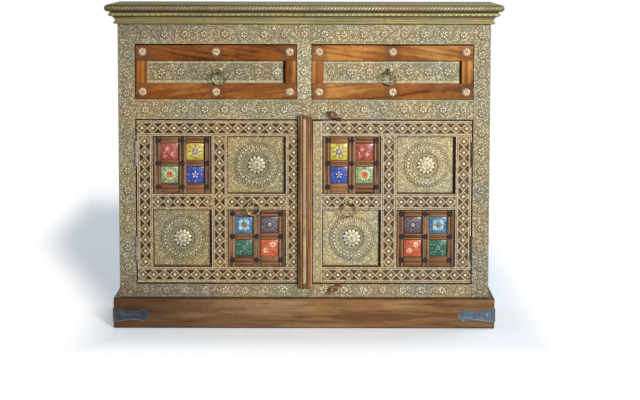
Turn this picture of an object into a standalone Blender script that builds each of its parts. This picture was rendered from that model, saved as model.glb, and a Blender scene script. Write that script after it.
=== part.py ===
"""Clad sideboard: two drawers over two doors, with tile lattices and embossed medallions.

Units are metres. The front faces -Y, +Z is up, and the origin is on the floor under the middle of the top.
"""

import math

import bmesh
import bpy
from mathutils import Matrix, Vector

# Fits
SEAT = 0.0003
DRAWER_PLAY = 0.0012
DOOR_GAP = 0.003
PIN_PLAY = 0.00035
DOME_SINK = 0.0006

# Plinth
PLINTH_HEIGHT = 0.0855
PLINTH_PROUD = 0.0175
PLINTH_THICK = 0.036
PLINTH_EASING = 0.003

# Iron straps round the plinth corners
STRAP_THICK = 0.0018
STRAP_LENGTH = 0.105
STRAP_RISE = 0.0365
STRAP_ROOT_HALF = 0.0185
STRAP_WAIST_HALF = 0.0125
STRAP_NECK_HALF = 0.0137
STRAP_LOBE_HALF = 0.0180
STRAP_NOTCH_HALF = 0.0094
STRAP_NECK_BACK = 0.0315
STRAP_LOBE_BACK = 0.0190
STRAP_NOTCH_BACK = 0.0105
STRAP_NAIL_RADIUS = 0.0045
STRAP_NAIL_HEIGHT = 0.0022
STRAP_NAIL_INSET = 0.026

# Case
CASE_WIDTH = 1.028
CASE_DEPTH = 0.365
SIDE_THICK = 0.020
BACK_THICK = 0.012
BOARD_THICK = 0.018
HOUSING = 0.006
SHELF_HEIGHT = 0.2255
SHELF_SETBACK = 0.024

# Face frame, from the plinth up
FRAME_THICK = 0.020
STILE_WIDTH = 0.046
MULLION_WIDTH = 0.0394
BOTTOM_RAIL = 0.0385
DOOR_OPENING = 0.458
MID_RAIL = 0.0565
DRAWER_OPENING = 0.1515
TOP_RAIL = 0.0564
TENON_LENGTH = 0.018
TENON_THICK = 0.008
TENON_SHOULDER = 0.008

# Cornice and top board
CORNICE_HEIGHT = 0.0346
CORNICE_LOW_BEAD = 0.0085
CORNICE_HIGH_BEAD = 0.0093
CORNICE_FILLET = 0.0034
CORNICE_LOW_PROUD = 0.0070
CORNICE_HIGH_PROUD = 0.0200
TOP_OVERHANG = 0.035
TOP_THICK = 0.019
TOP_NOSE = 0.0090

# Hinges
HINGE_GAP = 0.0035
HINGE_PROUD = 0.0035
HINGE_LENGTH = 0.068
HINGE_FROM_FLOOR = 0.0996
HINGE_FROM_CEILING = 0.0944
KNUCKLE_RADIUS = 0.0030
HINGE_PIN_RADIUS = 0.0014
LEAF_THICK = 0.0012
LEAF_DEPTH = 0.017

# Doors
MEETING_X = -0.0185
MEETING_GAP = 0.002
DOOR_THICK = 0.022
DOOR_STILE = 0.044
DOOR_MUNTIN = 0.0415
DOOR_INNER_EDGE = 0.050
DOOR_INNER_BAND = 0.0206
DOOR_TOP_RAIL = 0.0415
DOOR_MID_RAIL = 0.0415
DOOR_BOTTOM_RAIL = 0.0425
DOOR_LIP = 0.0095
DOOR_REBATE = 0.006
DOOR_PANEL_RECESS = 0.0017

# Diamond fret cut into the door frames
FRET_PITCH = 0.0297
FRET_WIDTH = 0.0285
FRET_RIDGE = 0.0032
FRET_DEPTH = 0.0022
FRET_TAPER = 0.8

# Tile lattices and tiles
LATTICE_BAR = 0.022
LATTICE_SUNK = 0.003
LATTICE_CHAMFER = 0.0022
LATTICE_STUD_RADIUS = 0.0055
LATTICE_STUD_HEIGHT = 0.0045
TILE_SUNK = 0.0062

# Embossed medallions
MEDALLION_MARGIN = 0.0231
MEDALLION_RIM = 0.0016
MEDALLION_RING = 0.0330
MEDALLION_BOSS = 0.0195
MEDALLION_BOSS_HEIGHT = 0.0055
MEDALLION_STEPS = 24

# Closing strip
STRIP_RIGHT = 0.022
STRIP_EDGE = 0.0065
STRIP_PROUD = 0.0135
STRIP_REEDS = 2
STRIP_REED = 0.0060
STRIP_FILLET_WIDTH = 0.0100
STRIP_FILLET_HEIGHT = 0.0030
STRIP_LAP_TOP = 0.0160
STRIP_LAP_BOTTOM = 0.0150
STRIP_END_CHAMFER = 0.005

# Drawers
DRAWER_RAIL = 0.0435
DRAWER_STILE = 0.032
DRAWER_FRONT_THICK = 0.018
DRAWER_LIP = 0.010
DRAWER_REBATE = 0.008
DRAWER_EASING = 0.0015
DRAWER_GAP = 0.001
DRAWER_WALL = 0.012
DRAWER_BOTTOM = 0.006
DRAWER_BOTTOM_RISE = 0.006
DRAWER_HEADROOM = 0.0292
DRAWER_BACK_ROOM = 0.0227
GUIDE_HEIGHT = 0.024
NAIL_RADIUS = 0.012
NAIL_HEIGHT = 0.0048
NAIL_INSET = 0.0195

# Ring pulls
RING_RADIUS = 0.0185
RING_WIRE = 0.0025
STUD_BALL = 0.0068
STUD_SHANK = 0.0034
STUD_BASE = 0.0085
STUD_BASE_RIM = 0.0011
STUD_BASE_HEIGHT = 0.0022
DRAWER_STUD_REACH = 0.0150
DOOR_STUD_REACH = 0.0105
DRAWER_PULL_SHIFT = 0.00885
DRAWER_PULL_LIFT = 0.00275
DOOR_PULL_SHIFT = {"left": 0.00875, "right": -0.00475}

# Turn buttons
BUTTON_ARM = 0.033
BUTTON_TAIL = 0.0155
BUTTON_HALF = 0.0088
BUTTON_TIP_HALF = 0.0042
BUTTON_THICK = 0.007
BUTTON_X = 0.0777
BUTTON_RISE_TOP = 0.0152
BUTTON_DROP_BOTTOM = 0.0176
BUTTON_REST_DEG = {"upper": -28.0, "lower": 34.0}
BUTTON_BOSS = 0.0060
BUTTON_BOSS_HEIGHT = 0.0020
BUTTON_SHANK = 0.0022
BUTTON_HEAD = 0.0046
BUTTON_HEAD_HEIGHT = 0.0022

# Levels and planes worked out from the sizes above
FRONT = TOP_OVERHANG / 2 - CASE_DEPTH / 2
BACK = FRONT + CASE_DEPTH
CASE_HALF = CASE_WIDTH / 2
INNER_HALF = CASE_HALF - SIDE_THICK
OPENING_HALF = CASE_HALF - STILE_WIDTH
DOOR_FLOOR = PLINTH_HEIGHT + BOTTOM_RAIL
DOOR_CEILING = DOOR_FLOOR + DOOR_OPENING
DRAWER_FLOOR = DOOR_CEILING + MID_RAIL
DRAWER_CEILING = DRAWER_FLOOR + DRAWER_OPENING
CORNICE_FLOOR = DRAWER_CEILING + TOP_RAIL
TOP_FLOOR = CORNICE_FLOOR + CORNICE_HEIGHT
PLINTH_FRONT = FRONT - PLINTH_PROUD
PLINTH_HALF = CASE_HALF + PLINTH_PROUD
FRAME_BACK = FRONT + FRAME_THICK
BACK_FACE = BACK - BACK_THICK
DOOR_LOW = DOOR_FLOOR + DOOR_GAP
DOOR_HIGH = DOOR_CEILING - DOOR_GAP
DOOR_EDGE = OPENING_HALF - HINGE_GAP
HINGE_X = OPENING_HALF - HINGE_GAP / 2
HINGE_Y = FRONT - HINGE_PROUD
WINDOW_WIDTH = (DOOR_EDGE - DOOR_STILE - DOOR_MUNTIN - DOOR_INNER_EDGE) / 2
WINDOW_HEIGHT = (DOOR_HIGH - DOOR_LOW - DOOR_TOP_RAIL - DOOR_MID_RAIL - DOOR_BOTTOM_RAIL) / 2
MEDALLION_RADIUS = min(WINDOW_WIDTH, WINDOW_HEIGHT) / 2 - MEDALLION_MARGIN
MULLION_HALF = MULLION_WIDTH / 2
SIDES = {"left": -1, "right": 1}
FACING_FRONT = Matrix.Rotation(math.pi / 2, 4, "X")


def clear_scene():
    """Remove whatever the open scene holds."""
    for old in list(bpy.data.objects):
        bpy.data.objects.remove(old, do_unlink=True)


def new_collection(name):
    """Add a collection to the scene."""
    collection = bpy.data.collections.new(name)
    bpy.context.scene.collection.children.link(collection)
    return collection


def finish(name, colour, roughness, metallic):
    """Make a plain Principled material."""
    material = bpy.data.materials.new(name)
    material.use_nodes = True
    shader = material.node_tree.nodes["Principled BSDF"]
    shader.inputs["Base Color"].default_value = (*colour, 1.0)
    shader.inputs["Roughness"].default_value = roughness
    shader.inputs["Metallic"].default_value = metallic
    return material


clear_scene()
PARTS = new_collection("clad_sideboard")
TOOLS = new_collection("cutters")
SHEET = finish("embossed_sheet", (0.32, 0.27, 0.17), 0.45, 0.7)
WOOD = finish("hardwood", (0.24, 0.10, 0.035), 0.55, 0.0)
CASE_WOOD = finish("case_wood", (0.20, 0.11, 0.05), 0.65, 0.0)
FRET_WOOD = finish("fret_wood", (0.28, 0.19, 0.11), 0.5, 0.2)
IRON = finish("plinth_iron", (0.07, 0.08, 0.09), 0.5, 0.9)
BRASS = finish("pull_brass", (0.45, 0.33, 0.14), 0.35, 1.0)
GLAZE = finish("tile_glaze", (0.15, 0.25, 0.45), 0.15, 0.0)


# Small modelling helpers

def block(bm, x, y, z):
    """Add a box, each axis given as a (low, high) pair."""
    pairs = (x, y, z)
    middle = Vector([(low + high) / 2 for low, high in pairs])
    size = [high - low for low, high in pairs]
    bmesh.ops.create_cube(bm, size=1.0, matrix=Matrix.Translation(middle) @ Matrix.Diagonal((*size, 1.0)))


def dome(bm, centre, radius, height, sides=8, turn=Matrix.Identity(4)):
    """Add a low dome on a surface that faces the front, its flat underside just below that surface."""
    place = Matrix.Translation(centre) @ turn
    matrix = place @ Matrix.Diagonal((radius, height, radius, 1.0)) @ FACING_FRONT
    ball = bmesh.ops.create_uvsphere(bm, u_segments=sides, v_segments=6, radius=1.0, matrix=matrix)["verts"]
    faces = {face for vert in ball for face in vert.link_faces}
    edges = {edge for vert in ball for edge in vert.link_edges}
    inward = (place.to_3x3() @ Vector((0, 1, 0))).normalized()
    halved = bmesh.ops.bisect_plane(bm, geom=[*ball, *edges, *faces], plane_co=centre + inward * DOME_SINK,
                                    plane_no=inward, clear_outer=True)
    rim = [item for item in halved["geom_cut"] if isinstance(item, bmesh.types.BMEdge)]
    bmesh.ops.contextual_create(bm, geom=rim)


def upright_rod(bm, x, y, z, radius, segments=12):
    """Add a closed cylinder along Z between two heights."""
    matrix = Matrix.Translation((x, y, (z[0] + z[1]) / 2))
    bmesh.ops.create_cone(bm, cap_ends=True, segments=segments, radius1=radius, radius2=radius,
                          depth=z[1] - z[0], matrix=matrix)


def extruded(bm, outline, along):
    """Fill a closed outline and push it along a vector into a prism."""
    face = bm.faces.new([bm.verts.new(point) for point in outline])
    pushed = bmesh.ops.extrude_face_region(bm, geom=[face])["geom"]
    moved = [item for item in pushed if isinstance(item, bmesh.types.BMVert)]
    bmesh.ops.translate(bm, verts=moved, vec=along)
    bmesh.ops.recalc_face_normals(bm, faces=bm.faces)
    return moved


def arc(centre, radius, start_deg, end_deg, steps):
    """Give the points of a circular arc, both ends included."""
    turns = [math.radians(start_deg + (end_deg - start_deg) * i / steps) for i in range(steps + 1)]
    return [(centre[0] + radius * math.cos(t), centre[1] + radius * math.sin(t)) for t in turns]


def add_object(name, bm, material=None, matrix=None):
    """Turn a bmesh into a piece, or into a hidden tool when it has no material."""
    mesh = bpy.data.meshes.new(name)
    bm.to_mesh(mesh)
    bm.free()
    obj = bpy.data.objects.new(name, mesh)
    if matrix is not None:
        obj.matrix_world = matrix
    if material is None:
        obj.hide_render = True
        obj.display_type = "WIRE"
        TOOLS.objects.link(obj)
    else:
        mesh.materials.append(material)
        PARTS.objects.link(obj)
    return obj


def combine(obj, tool, operation):
    """Cut a tool from a piece, or join it on."""
    modifier = obj.modifiers.new(f"{operation.lower()}_{tool.name}", "BOOLEAN")
    modifier.operation = operation
    modifier.solver = "EXACT"
    modifier.object = tool


def cut(obj, bm, name):
    """Cut the shapes of a bmesh from a piece."""
    combine(obj, add_object(f"{obj.name}_{name}_cutter", bm), "DIFFERENCE")


def join(obj, bm, name):
    """Join the shapes of a bmesh onto a piece."""
    combine(obj, add_object(f"{obj.name}_{name}_tool", bm), "UNION")


def board(name, material, x, y, z):
    """Make one board whose origin is at its middle."""
    middle = Vector([(low + high) / 2 for low, high in (x, y, z)])
    bm = bmesh.new()
    block(bm, *[(low - c, high - c) for (low, high), c in zip((x, y, z), middle)])
    return add_object(name, bm, material, Matrix.Translation(middle))


def ease(obj, width, segments=1):
    """Break the sharp edges of a piece."""
    modifier = obj.modifiers.new("eased_edges", "BEVEL")
    modifier.width = width
    modifier.segments = segments
    modifier.limit_method = "ANGLE"


def turned(name, profile, steps, matrix, material=None):
    """Spin a (radius, height) profile that runs from top to bottom round its own Z axis."""
    bm = bmesh.new()
    verts = [bm.verts.new((radius, 0.0, height)) for radius, height in profile]
    for first, second in zip(verts, verts[1:]):
        bm.edges.new((first, second))
    obj = add_object(name, bm, material, matrix)
    screw = obj.modifiers.new("turned", "SCREW")
    screw.steps = steps
    screw.render_steps = steps
    screw.use_merge_vertices = True
    screw.merge_threshold = 0.00005
    return obj


def plate(name, points, thickness, matrix, steps, corners=()):
    """Make a flat plate from a smooth closed outline, sharp at the numbered corner points."""
    curve = bpy.data.curves.new(name, "CURVE")
    curve.dimensions = "2D"
    curve.fill_mode = "BOTH"
    curve.extrude = thickness / 2
    curve.resolution_u = steps
    curve.render_resolution_u = steps
    spline = curve.splines.new("BEZIER")
    spline.bezier_points.add(len(points) - 1)
    spline.use_cyclic_u = True
    for index, (point, (u, v)) in enumerate(zip(spline.bezier_points, points)):
        point.co = (u, v, 0.0)
        kind = "VECTOR" if index in corners else "AUTO"
        point.handle_left_type = kind
        point.handle_right_type = kind
    outline = bpy.data.objects.new(name, curve)
    TOOLS.objects.link(outline)
    bpy.context.view_layer.update()
    mesh = bpy.data.meshes.new_from_object(outline.evaluated_get(bpy.context.evaluated_depsgraph_get()))
    bpy.data.objects.remove(outline, do_unlink=True)
    bm = bmesh.new()
    bm.from_mesh(mesh)
    bpy.data.meshes.remove(mesh)
    bmesh.ops.remove_doubles(bm, verts=bm.verts, dist=0.00002)
    bmesh.ops.transform(bm, matrix=matrix, verts=bm.verts)
    bmesh.ops.recalc_face_normals(bm, faces=bm.faces)
    return bm


def smooth(obj, angle_deg=35.0):
    """Shade a round piece smooth, with its real edges kept sharp."""
    obj.data.shade_smooth()
    obj.data.set_sharp_from_angle(angle=math.radians(angle_deg))


def pivot(name, place):
    """Put an empty on a joint's axis, to carry the pieces that move about it."""
    empty = bpy.data.objects.new(name, None)
    empty.location = place
    empty.empty_display_size = 0.03
    PARTS.objects.link(empty)
    return empty


def carry(empty, pieces):
    """Parent pieces to a pivot without moving them."""
    bpy.context.view_layer.update()
    for piece in pieces:
        piece.parent = empty
        piece.matrix_parent_inverse = empty.matrix_world.inverted()


def on_side(side, near, far):
    """Give a stretch measured outwards from the middle as a (low, high) pair on the left or right."""
    return tuple(sorted((SIDES[side] * near, SIDES[side] * far)))


# Plinth and its iron straps

def plinth():
    """Three boards that carry the case, with the side boards behind the front one."""
    height = (0.0, PLINTH_HEIGHT)
    behind = PLINTH_FRONT + PLINTH_THICK
    front = board("plinth_front", WOOD, (-PLINTH_HALF, PLINTH_HALF), (PLINTH_FRONT, behind), height)
    ease(front, PLINTH_EASING, 2)
    for side in SIDES:
        across = on_side(side, PLINTH_HALF - PLINTH_THICK, PLINTH_HALF)
        ease(board(f"plinth_{side}", WOOD, across, (behind + SEAT, BACK), height), PLINTH_EASING, 2)


def strap_outline():
    """Flat blank of a strap, from the front tip to the side tip, before it is bent at its middle."""
    neck = STRAP_LENGTH - STRAP_NECK_BACK
    lobe = STRAP_LENGTH - STRAP_LOBE_BACK
    notch = STRAP_LENGTH - STRAP_NOTCH_BACK
    leg = [(STRAP_LENGTH / 2, STRAP_WAIST_HALF), (neck, STRAP_NECK_HALF), (lobe, STRAP_LOBE_HALF),
           (notch, STRAP_NOTCH_HALF)]
    upper = [(-u, v) for u, v in reversed(leg)] + [(0.0, STRAP_ROOT_HALF)] + leg
    lower = [(u, -v) for u, v in reversed(upper)]
    return [(-STRAP_LENGTH, 0.0)] + upper + [(STRAP_LENGTH, 0.0)] + lower


def corner_strap(side):
    """One iron plate bent round a plinth corner, with a nail in each leg."""
    sign = SIDES[side]
    inner = Vector((sign * (PLINTH_HALF + SEAT), PLINTH_FRONT - SEAT, STRAP_RISE))
    outline = strap_outline()
    tips = (0, len(outline) // 2)
    bm = plate("strap_blank", outline, STRAP_THICK, Matrix.Translation((0, 0, STRAP_THICK / 2)), 3, tips)
    bmesh.ops.bisect_plane(bm, geom=[*bm.verts, *bm.edges, *bm.faces], plane_co=(0, 0, 0), plane_no=(1, 0, 0))
    for vert in bm.verts:
        along, height, out = vert.co
        front_leg = Vector((-sign * along, -out, height))
        side_leg = Vector((sign * out, -along, height))
        bend = Vector((sign * out, -out, height))
        leg = bend if abs(along) < SEAT / 10 else front_leg if along > 0 else side_leg
        vert.co = inner + leg
    bmesh.ops.recalc_face_normals(bm, faces=bm.faces)
    strap = add_object(f"corner_strap_{side}", bm, IRON)
    nails = bmesh.new()
    front_face = Vector((-sign * STRAP_NAIL_INSET, -STRAP_THICK, 0))
    side_face = Vector((sign * STRAP_THICK, STRAP_NAIL_INSET, 0))
    dome(nails, inner + front_face, STRAP_NAIL_RADIUS, STRAP_NAIL_HEIGHT)
    dome(nails, inner + side_face, STRAP_NAIL_RADIUS, STRAP_NAIL_HEIGHT,
         turn=Matrix.Rotation(sign * math.pi / 2, 4, "Z"))
    join(strap, nails, "nails")


# Case

def housed_levels():
    """Heights of the boards that sit in grooves in the case sides."""
    floor_top = DOOR_FLOOR - DOOR_GAP
    shelf_top = DOOR_FLOOR + SHELF_HEIGHT + BOARD_THICK
    return {name: (top - BOARD_THICK, top) for name, top in
            (("bottom_board", floor_top), ("shelf", shelf_top), ("drawer_deck", DRAWER_FLOOR))}


def case():
    """Sides, back and the three boards between them."""
    rise = (PLINTH_HEIGHT + SEAT, TOP_FLOOR - SEAT)
    behind_frame = FRAME_BACK + SEAT
    levels = housed_levels()
    for side in SIDES:
        panel = board(f"side_panel_{side}", SHEET, on_side(side, INNER_HALF, CASE_HALF),
                      (behind_frame, BACK), rise)
        grooves = bmesh.new()
        for low, high in levels.values():
            block(grooves, on_side(side, INNER_HALF - HOUSING, INNER_HALF + HOUSING),
                  (behind_frame - HOUSING, BACK + HOUSING), (low - SEAT, high + SEAT))
        cut(panel, grooves, "grooves")
    board("back_panel", CASE_WOOD, (SEAT - INNER_HALF, INNER_HALF - SEAT), (BACK_FACE, BACK),
          (0.0, TOP_FLOOR - SEAT))
    reach = INNER_HALF + HOUSING - SEAT
    starts = {"bottom_board": behind_frame, "drawer_deck": behind_frame,
              "shelf": FRONT + DOOR_THICK + SHELF_SETBACK}
    pieces = {name: board(name, CASE_WOOD, (-reach, reach), (starts[name], BACK_FACE - SEAT), level)
              for name, level in levels.items()}
    guides = bmesh.new()
    along = (behind_frame, BACK_FACE - SEAT)
    rise = (DRAWER_FLOOR - HOUSING, DRAWER_FLOOR + GUIDE_HEIGHT)
    block(guides, (-MULLION_HALF, MULLION_HALF), along, rise)
    for side in SIDES:
        block(guides, on_side(side, OPENING_HALF, INNER_HALF - SEAT), along, rise)
    join(pieces["drawer_deck"], guides, "guides")


# Face frame

def button_pivot_places():
    """Where the two turn buttons are screwed to the rails."""
    return {"upper": Vector((BUTTON_X, FRONT, DOOR_CEILING + BUTTON_RISE_TOP)),
            "lower": Vector((BUTTON_X, FRONT, DOOR_FLOOR - BUTTON_DROP_BOTTOM))}


def button_screw(name, place):
    """Round boss, shank and domed head that hold a turn button off the rail."""
    shank_top = BUTTON_BOSS_HEIGHT + SEAT + BUTTON_THICK + SEAT
    head = [(BUTTON_HEAD * u, shank_top + BUTTON_HEAD_HEIGHT * v) for u, v in arc((0.0, 0.0), 1.0, 90, 0, 3)]
    foot = [(BUTTON_SHANK, shank_top), (BUTTON_SHANK, BUTTON_BOSS_HEIGHT), (BUTTON_BOSS, BUTTON_BOSS_HEIGHT),
            (BUTTON_BOSS, -BUTTON_BOSS_HEIGHT), (0.0, -BUTTON_BOSS_HEIGHT)]
    profile = [(0.0, shank_top + BUTTON_HEAD_HEIGHT)] + head[1:] + foot
    return turned(name, profile, 12, Matrix.Translation(place) @ FACING_FRONT)


def rail(name, low, high):
    """One rail of the face frame, tenoned into both stiles."""
    thick = (FRONT, FRAME_BACK)
    piece = board(name, SHEET, (SEAT - OPENING_HALF, OPENING_HALF - SEAT), thick, (low, high))
    tenons = bmesh.new()
    middle = (FRONT + FRAME_BACK) / 2
    for side in SIDES:
        block(tenons, on_side(side, OPENING_HALF - TENON_LENGTH, OPENING_HALF + TENON_LENGTH),
              (middle - TENON_THICK / 2, middle + TENON_THICK / 2), (low + TENON_SHOULDER, high - TENON_SHOULDER))
    join(piece, tenons, "tenons")
    return piece


def face_frame():
    """Stiles with mortises, three rails, and the mullion between the drawers."""
    levels = {"bottom_rail": (PLINTH_HEIGHT + SEAT, DOOR_FLOOR), "mid_rail": (DOOR_CEILING, DRAWER_FLOOR),
              "top_rail": (DRAWER_CEILING, TOP_FLOOR - SEAT)}
    rails = {name: rail(name, low, high) for name, (low, high) in levels.items()}
    middle = (FRONT + FRAME_BACK) / 2
    slot = TENON_THICK / 2 + SEAT
    for side in SIDES:
        stile = board(f"stile_{side}", SHEET, on_side(side, OPENING_HALF, CASE_HALF), (FRONT, FRAME_BACK),
                      (PLINTH_HEIGHT + SEAT, TOP_FLOOR - SEAT))
        mortises = bmesh.new()
        for low, high in levels.values():
            block(mortises, on_side(side, OPENING_HALF - SEAT - TENON_LENGTH, OPENING_HALF + TENON_LENGTH + SEAT),
                  (middle - slot, middle + slot), (low + TENON_SHOULDER - SEAT, high - TENON_SHOULDER + SEAT))
        cut(stile, mortises, "mortises")
    board("drawer_mullion", SHEET, (-MULLION_HALF, MULLION_HALF), (FRONT, FRAME_BACK),
          (DRAWER_FLOOR + SEAT, DRAWER_CEILING - SEAT))
    places = button_pivot_places()
    combine(rails["mid_rail"], button_screw("upper_screw_tool", places["upper"]), "UNION")
    combine(rails["bottom_rail"], button_screw("lower_screw_tool", places["lower"]), "UNION")


# Cornice and top

def cornice_profile():
    """Outline of the moulding as (how far it stands out, height), round from its back foot."""
    low_bead = CORNICE_FLOOR + CORNICE_LOW_BEAD
    high_floor = TOP_FLOOR - CORNICE_FILLET - CORNICE_HIGH_BEAD
    cove_out = CORNICE_HIGH_PROUD - CORNICE_LOW_PROUD
    cove_rise = high_floor - low_bead
    cove = [(CORNICE_LOW_PROUD + cove_out * (1 - math.cos(t)), low_bead + cove_rise * math.sin(t))
            for t in (math.pi / 2 * i / 4 for i in range(5))]
    round_low = arc((CORNICE_LOW_PROUD, CORNICE_FLOOR + CORNICE_LOW_BEAD / 2), CORNICE_LOW_BEAD / 2, -90, 90, 4)
    round_high = arc((CORNICE_HIGH_PROUD, high_floor + CORNICE_HIGH_BEAD / 2), CORNICE_HIGH_BEAD / 2, -90, 90, 4)
    top = TOP_FLOOR - SEAT
    fillet = [(CORNICE_HIGH_PROUD, top), (SEAT, top)]
    return [(SEAT, CORNICE_FLOOR)] + round_low[:-1] + cove[:-1] + round_high + fillet


def cornice():
    """Three lengths of moulding with mitred front corners."""
    profile = cornice_profile()
    mitre = SEAT / 2
    bm = bmesh.new()
    ends = extruded(bm, [(-CASE_HALF - out + mitre, FRONT - out, height) for out, height in profile], (0, 0, 0))
    for vert in ends:
        vert.co.x = -vert.co.x
    bmesh.ops.recalc_face_normals(bm, faces=bm.faces)
    add_object("cornice_front", bm, SHEET)
    for side in SIDES:
        bm = bmesh.new()
        outline = [(SIDES[side] * (CASE_HALF + out), FRONT - out + mitre, height) for out, height in profile]
        for vert in extruded(bm, outline, (0, 0, 0)):
            vert.co.y = BACK
        bmesh.ops.recalc_face_normals(bm, faces=bm.faces)
        add_object(f"cornice_{side}", bm, SHEET)


def top_board():
    """Top board with a round nose along the front and both ends."""
    half = CASE_HALF + TOP_OVERHANG
    bm = bmesh.new()
    block(bm, (-half, half), (FRONT - TOP_OVERHANG, BACK), (TOP_FLOOR, TOP_FLOOR + TOP_THICK))
    nosed = [edge for edge in bm.edges
             if edge.verts[0].co.z == edge.verts[1].co.z
             and not all(abs(vert.co.y - BACK) < SEAT for vert in edge.verts)]
    bmesh.ops.bevel(bm, geom=nosed, offset=TOP_NOSE, segments=4, profile=0.5, affect="EDGES", material=-1)
    smooth(add_object("top_board", bm, SHEET))


# Hinges

def hinge_leaf(name, plate_x, level, knuckles, material):
    """A leaf plate with its knuckles, all round the hinge's own axis."""
    side = 1 if plate_x[0] > 0 else -1
    bm = bmesh.new()
    block(bm, plate_x, (FRONT, FRONT + LEAF_DEPTH), level)
    leaf = add_object(name, bm, material)
    for index, (low, high) in enumerate(knuckles):
        neck = bmesh.new()
        block(neck, plate_x, (HINGE_Y, FRONT + LEAF_THICK), (low, high))
        join(leaf, neck, f"neck_{index}")
        barrel = bmesh.new()
        upright_rod(barrel, side * HINGE_X, HINGE_Y, (low, high), KNUCKLE_RADIUS)
        join(leaf, barrel, f"barrel_{index}")
    return leaf


def hinge(side, place, low):
    """One butt hinge: a case leaf that holds the pin and a door leaf that turns on it."""
    sign = SIDES[side]
    third = HINGE_LENGTH / 3
    level = (low, low + HINGE_LENGTH)
    outer = [(low, low + third), (low + 2 * third, low + HINGE_LENGTH)]
    case_x = on_side(side, OPENING_HALF - SEAT - LEAF_THICK, OPENING_HALF - SEAT)
    case_leaf = hinge_leaf(f"{side}_{place}_hinge_case_leaf", case_x, level, outer, IRON)
    pin = bmesh.new()
    upright_rod(pin, sign * HINGE_X, HINGE_Y, (low + third / 2, low + HINGE_LENGTH - third / 2), HINGE_PIN_RADIUS)
    join(case_leaf, pin, "pin")
    door_x = on_side(side, DOOR_EDGE + SEAT, DOOR_EDGE + SEAT + LEAF_THICK)
    middle = [(low + third + SEAT, low + 2 * third - SEAT)]
    door_leaf = hinge_leaf(f"{side}_{place}_hinge_door_leaf", door_x, level, middle, IRON)
    bore = bmesh.new()
    upright_rod(bore, sign * HINGE_X, HINGE_Y, (low, low + HINGE_LENGTH), HINGE_PIN_RADIUS + PIN_PLAY)
    cut(door_leaf, bore, "bore")
    return door_leaf


# Ring pulls

def pull(name, face, reach):
    """A turned stud with a cross hole, and the ring that hangs in it. Gives the stud, ring and pivot."""
    ball = face + Vector((0, -reach, 0))
    wrap = math.sqrt(STUD_BALL ** 2 - RING_WIRE ** 2)
    hole_radius = RING_WIRE + wrap ** 2 / (2 * RING_RADIUS) + PIN_PLAY
    neck = math.sqrt(STUD_BALL ** 2 - STUD_SHANK ** 2)
    sphere = arc((0.0, reach), STUD_BALL, 90, -math.degrees(math.atan2(neck, STUD_SHANK)), 5)
    foot = [(STUD_SHANK, STUD_BASE_HEIGHT), (STUD_BASE, STUD_BASE_RIM), (STUD_BASE, SEAT), (0.0, SEAT)]
    profile = [(0.0, reach + STUD_BALL)] + sphere[1:] + foot
    stud = turned(f"{name}_stud", profile, 12, Matrix.Translation(face) @ FACING_FRONT, BRASS)
    hole = bmesh.new()
    bmesh.ops.create_cone(hole, cap_ends=True, segments=12, radius1=hole_radius, radius2=hole_radius,
                          depth=4 * STUD_BALL, matrix=Matrix.Translation(ball) @ Matrix.Rotation(math.pi / 2, 4, "Y"))
    cut(stud, hole, "hole")
    bpy.ops.mesh.primitive_torus_add(major_radius=RING_RADIUS, minor_radius=RING_WIRE, major_segments=24,
                                     minor_segments=6, location=ball - Vector((0, 0, RING_RADIUS)),
                                     rotation=(math.pi / 2, 0, 0))
    ring = bpy.context.object
    ring.name = f"{name}_ring"
    for collection in list(ring.users_collection):
        collection.objects.unlink(ring)
    PARTS.objects.link(ring)
    ring.data.materials.append(BRASS)
    smooth(ring)
    ring_pivot = pivot(f"{name}_ring_pivot", ball)
    carry(ring_pivot, [ring])
    return stud, ring_pivot


# Drawers

def drawer(side):
    """Front frame, sunk panel, box and ring pull, all on one slide."""
    outer = on_side(side, MULLION_HALF + DRAWER_PLAY, OPENING_HALF - DRAWER_PLAY)
    rise = (DRAWER_FLOOR + DRAWER_GAP, DRAWER_CEILING - DRAWER_GAP)
    front_back = FRONT + DRAWER_FRONT_THICK
    frame = board(f"{side}_drawer_frame", WOOD, outer, (FRONT, front_back), rise)
    ease(frame, DRAWER_EASING)
    window_x = (outer[0] + DRAWER_STILE, outer[1] - DRAWER_STILE)
    window_z = (rise[0] + DRAWER_RAIL, rise[1] - DRAWER_RAIL)
    window = bmesh.new()
    block(window, window_x, (FRONT - DRAWER_LIP, front_back + DRAWER_LIP), window_z)
    cut(frame, window, "window")
    rebate = bmesh.new()
    panel_x = (window_x[0] - DRAWER_REBATE, window_x[1] + DRAWER_REBATE)
    panel_z = (window_z[0] - DRAWER_REBATE, window_z[1] + DRAWER_REBATE)
    block(rebate, panel_x, (FRONT + DRAWER_LIP, front_back + DRAWER_LIP), panel_z)
    cut(frame, rebate, "rebate")
    nails = bmesh.new()
    across = (outer[0] + NAIL_INSET, (outer[0] + outer[1]) / 2, outer[1] - NAIL_INSET)
    for x in across:
        for z in (rise[0] + NAIL_INSET, rise[1] - NAIL_INSET):
            dome(nails, Vector((x, FRONT, z)), NAIL_RADIUS, NAIL_HEIGHT, sides=12)
    join(frame, nails, "nails")
    panel = board(f"{side}_drawer_panel", SHEET, (panel_x[0] + SEAT, panel_x[1] - SEAT),
                  (FRONT + DRAWER_LIP + SEAT, front_back), (panel_z[0] + SEAT, panel_z[1] - SEAT))
    box = drawer_box(side, outer, front_back + SEAT)
    pull_x = SIDES[side] * ((MULLION_HALF + OPENING_HALF) / 2 - DRAWER_PULL_SHIFT)
    pull_z = (DRAWER_FLOOR + DRAWER_CEILING) / 2 + DRAWER_PULL_LIFT
    face = Vector((pull_x, FRONT + DRAWER_LIP + SEAT, pull_z))
    stud, ring_pivot = pull(f"{side}_drawer_pull", face, DRAWER_STUD_REACH)
    slide = pivot(f"{side}_drawer_slide", Vector(((outer[0] + outer[1]) / 2, FRONT, DRAWER_FLOOR)))
    carry(slide, [frame, panel, box, stud, ring_pivot])


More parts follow.
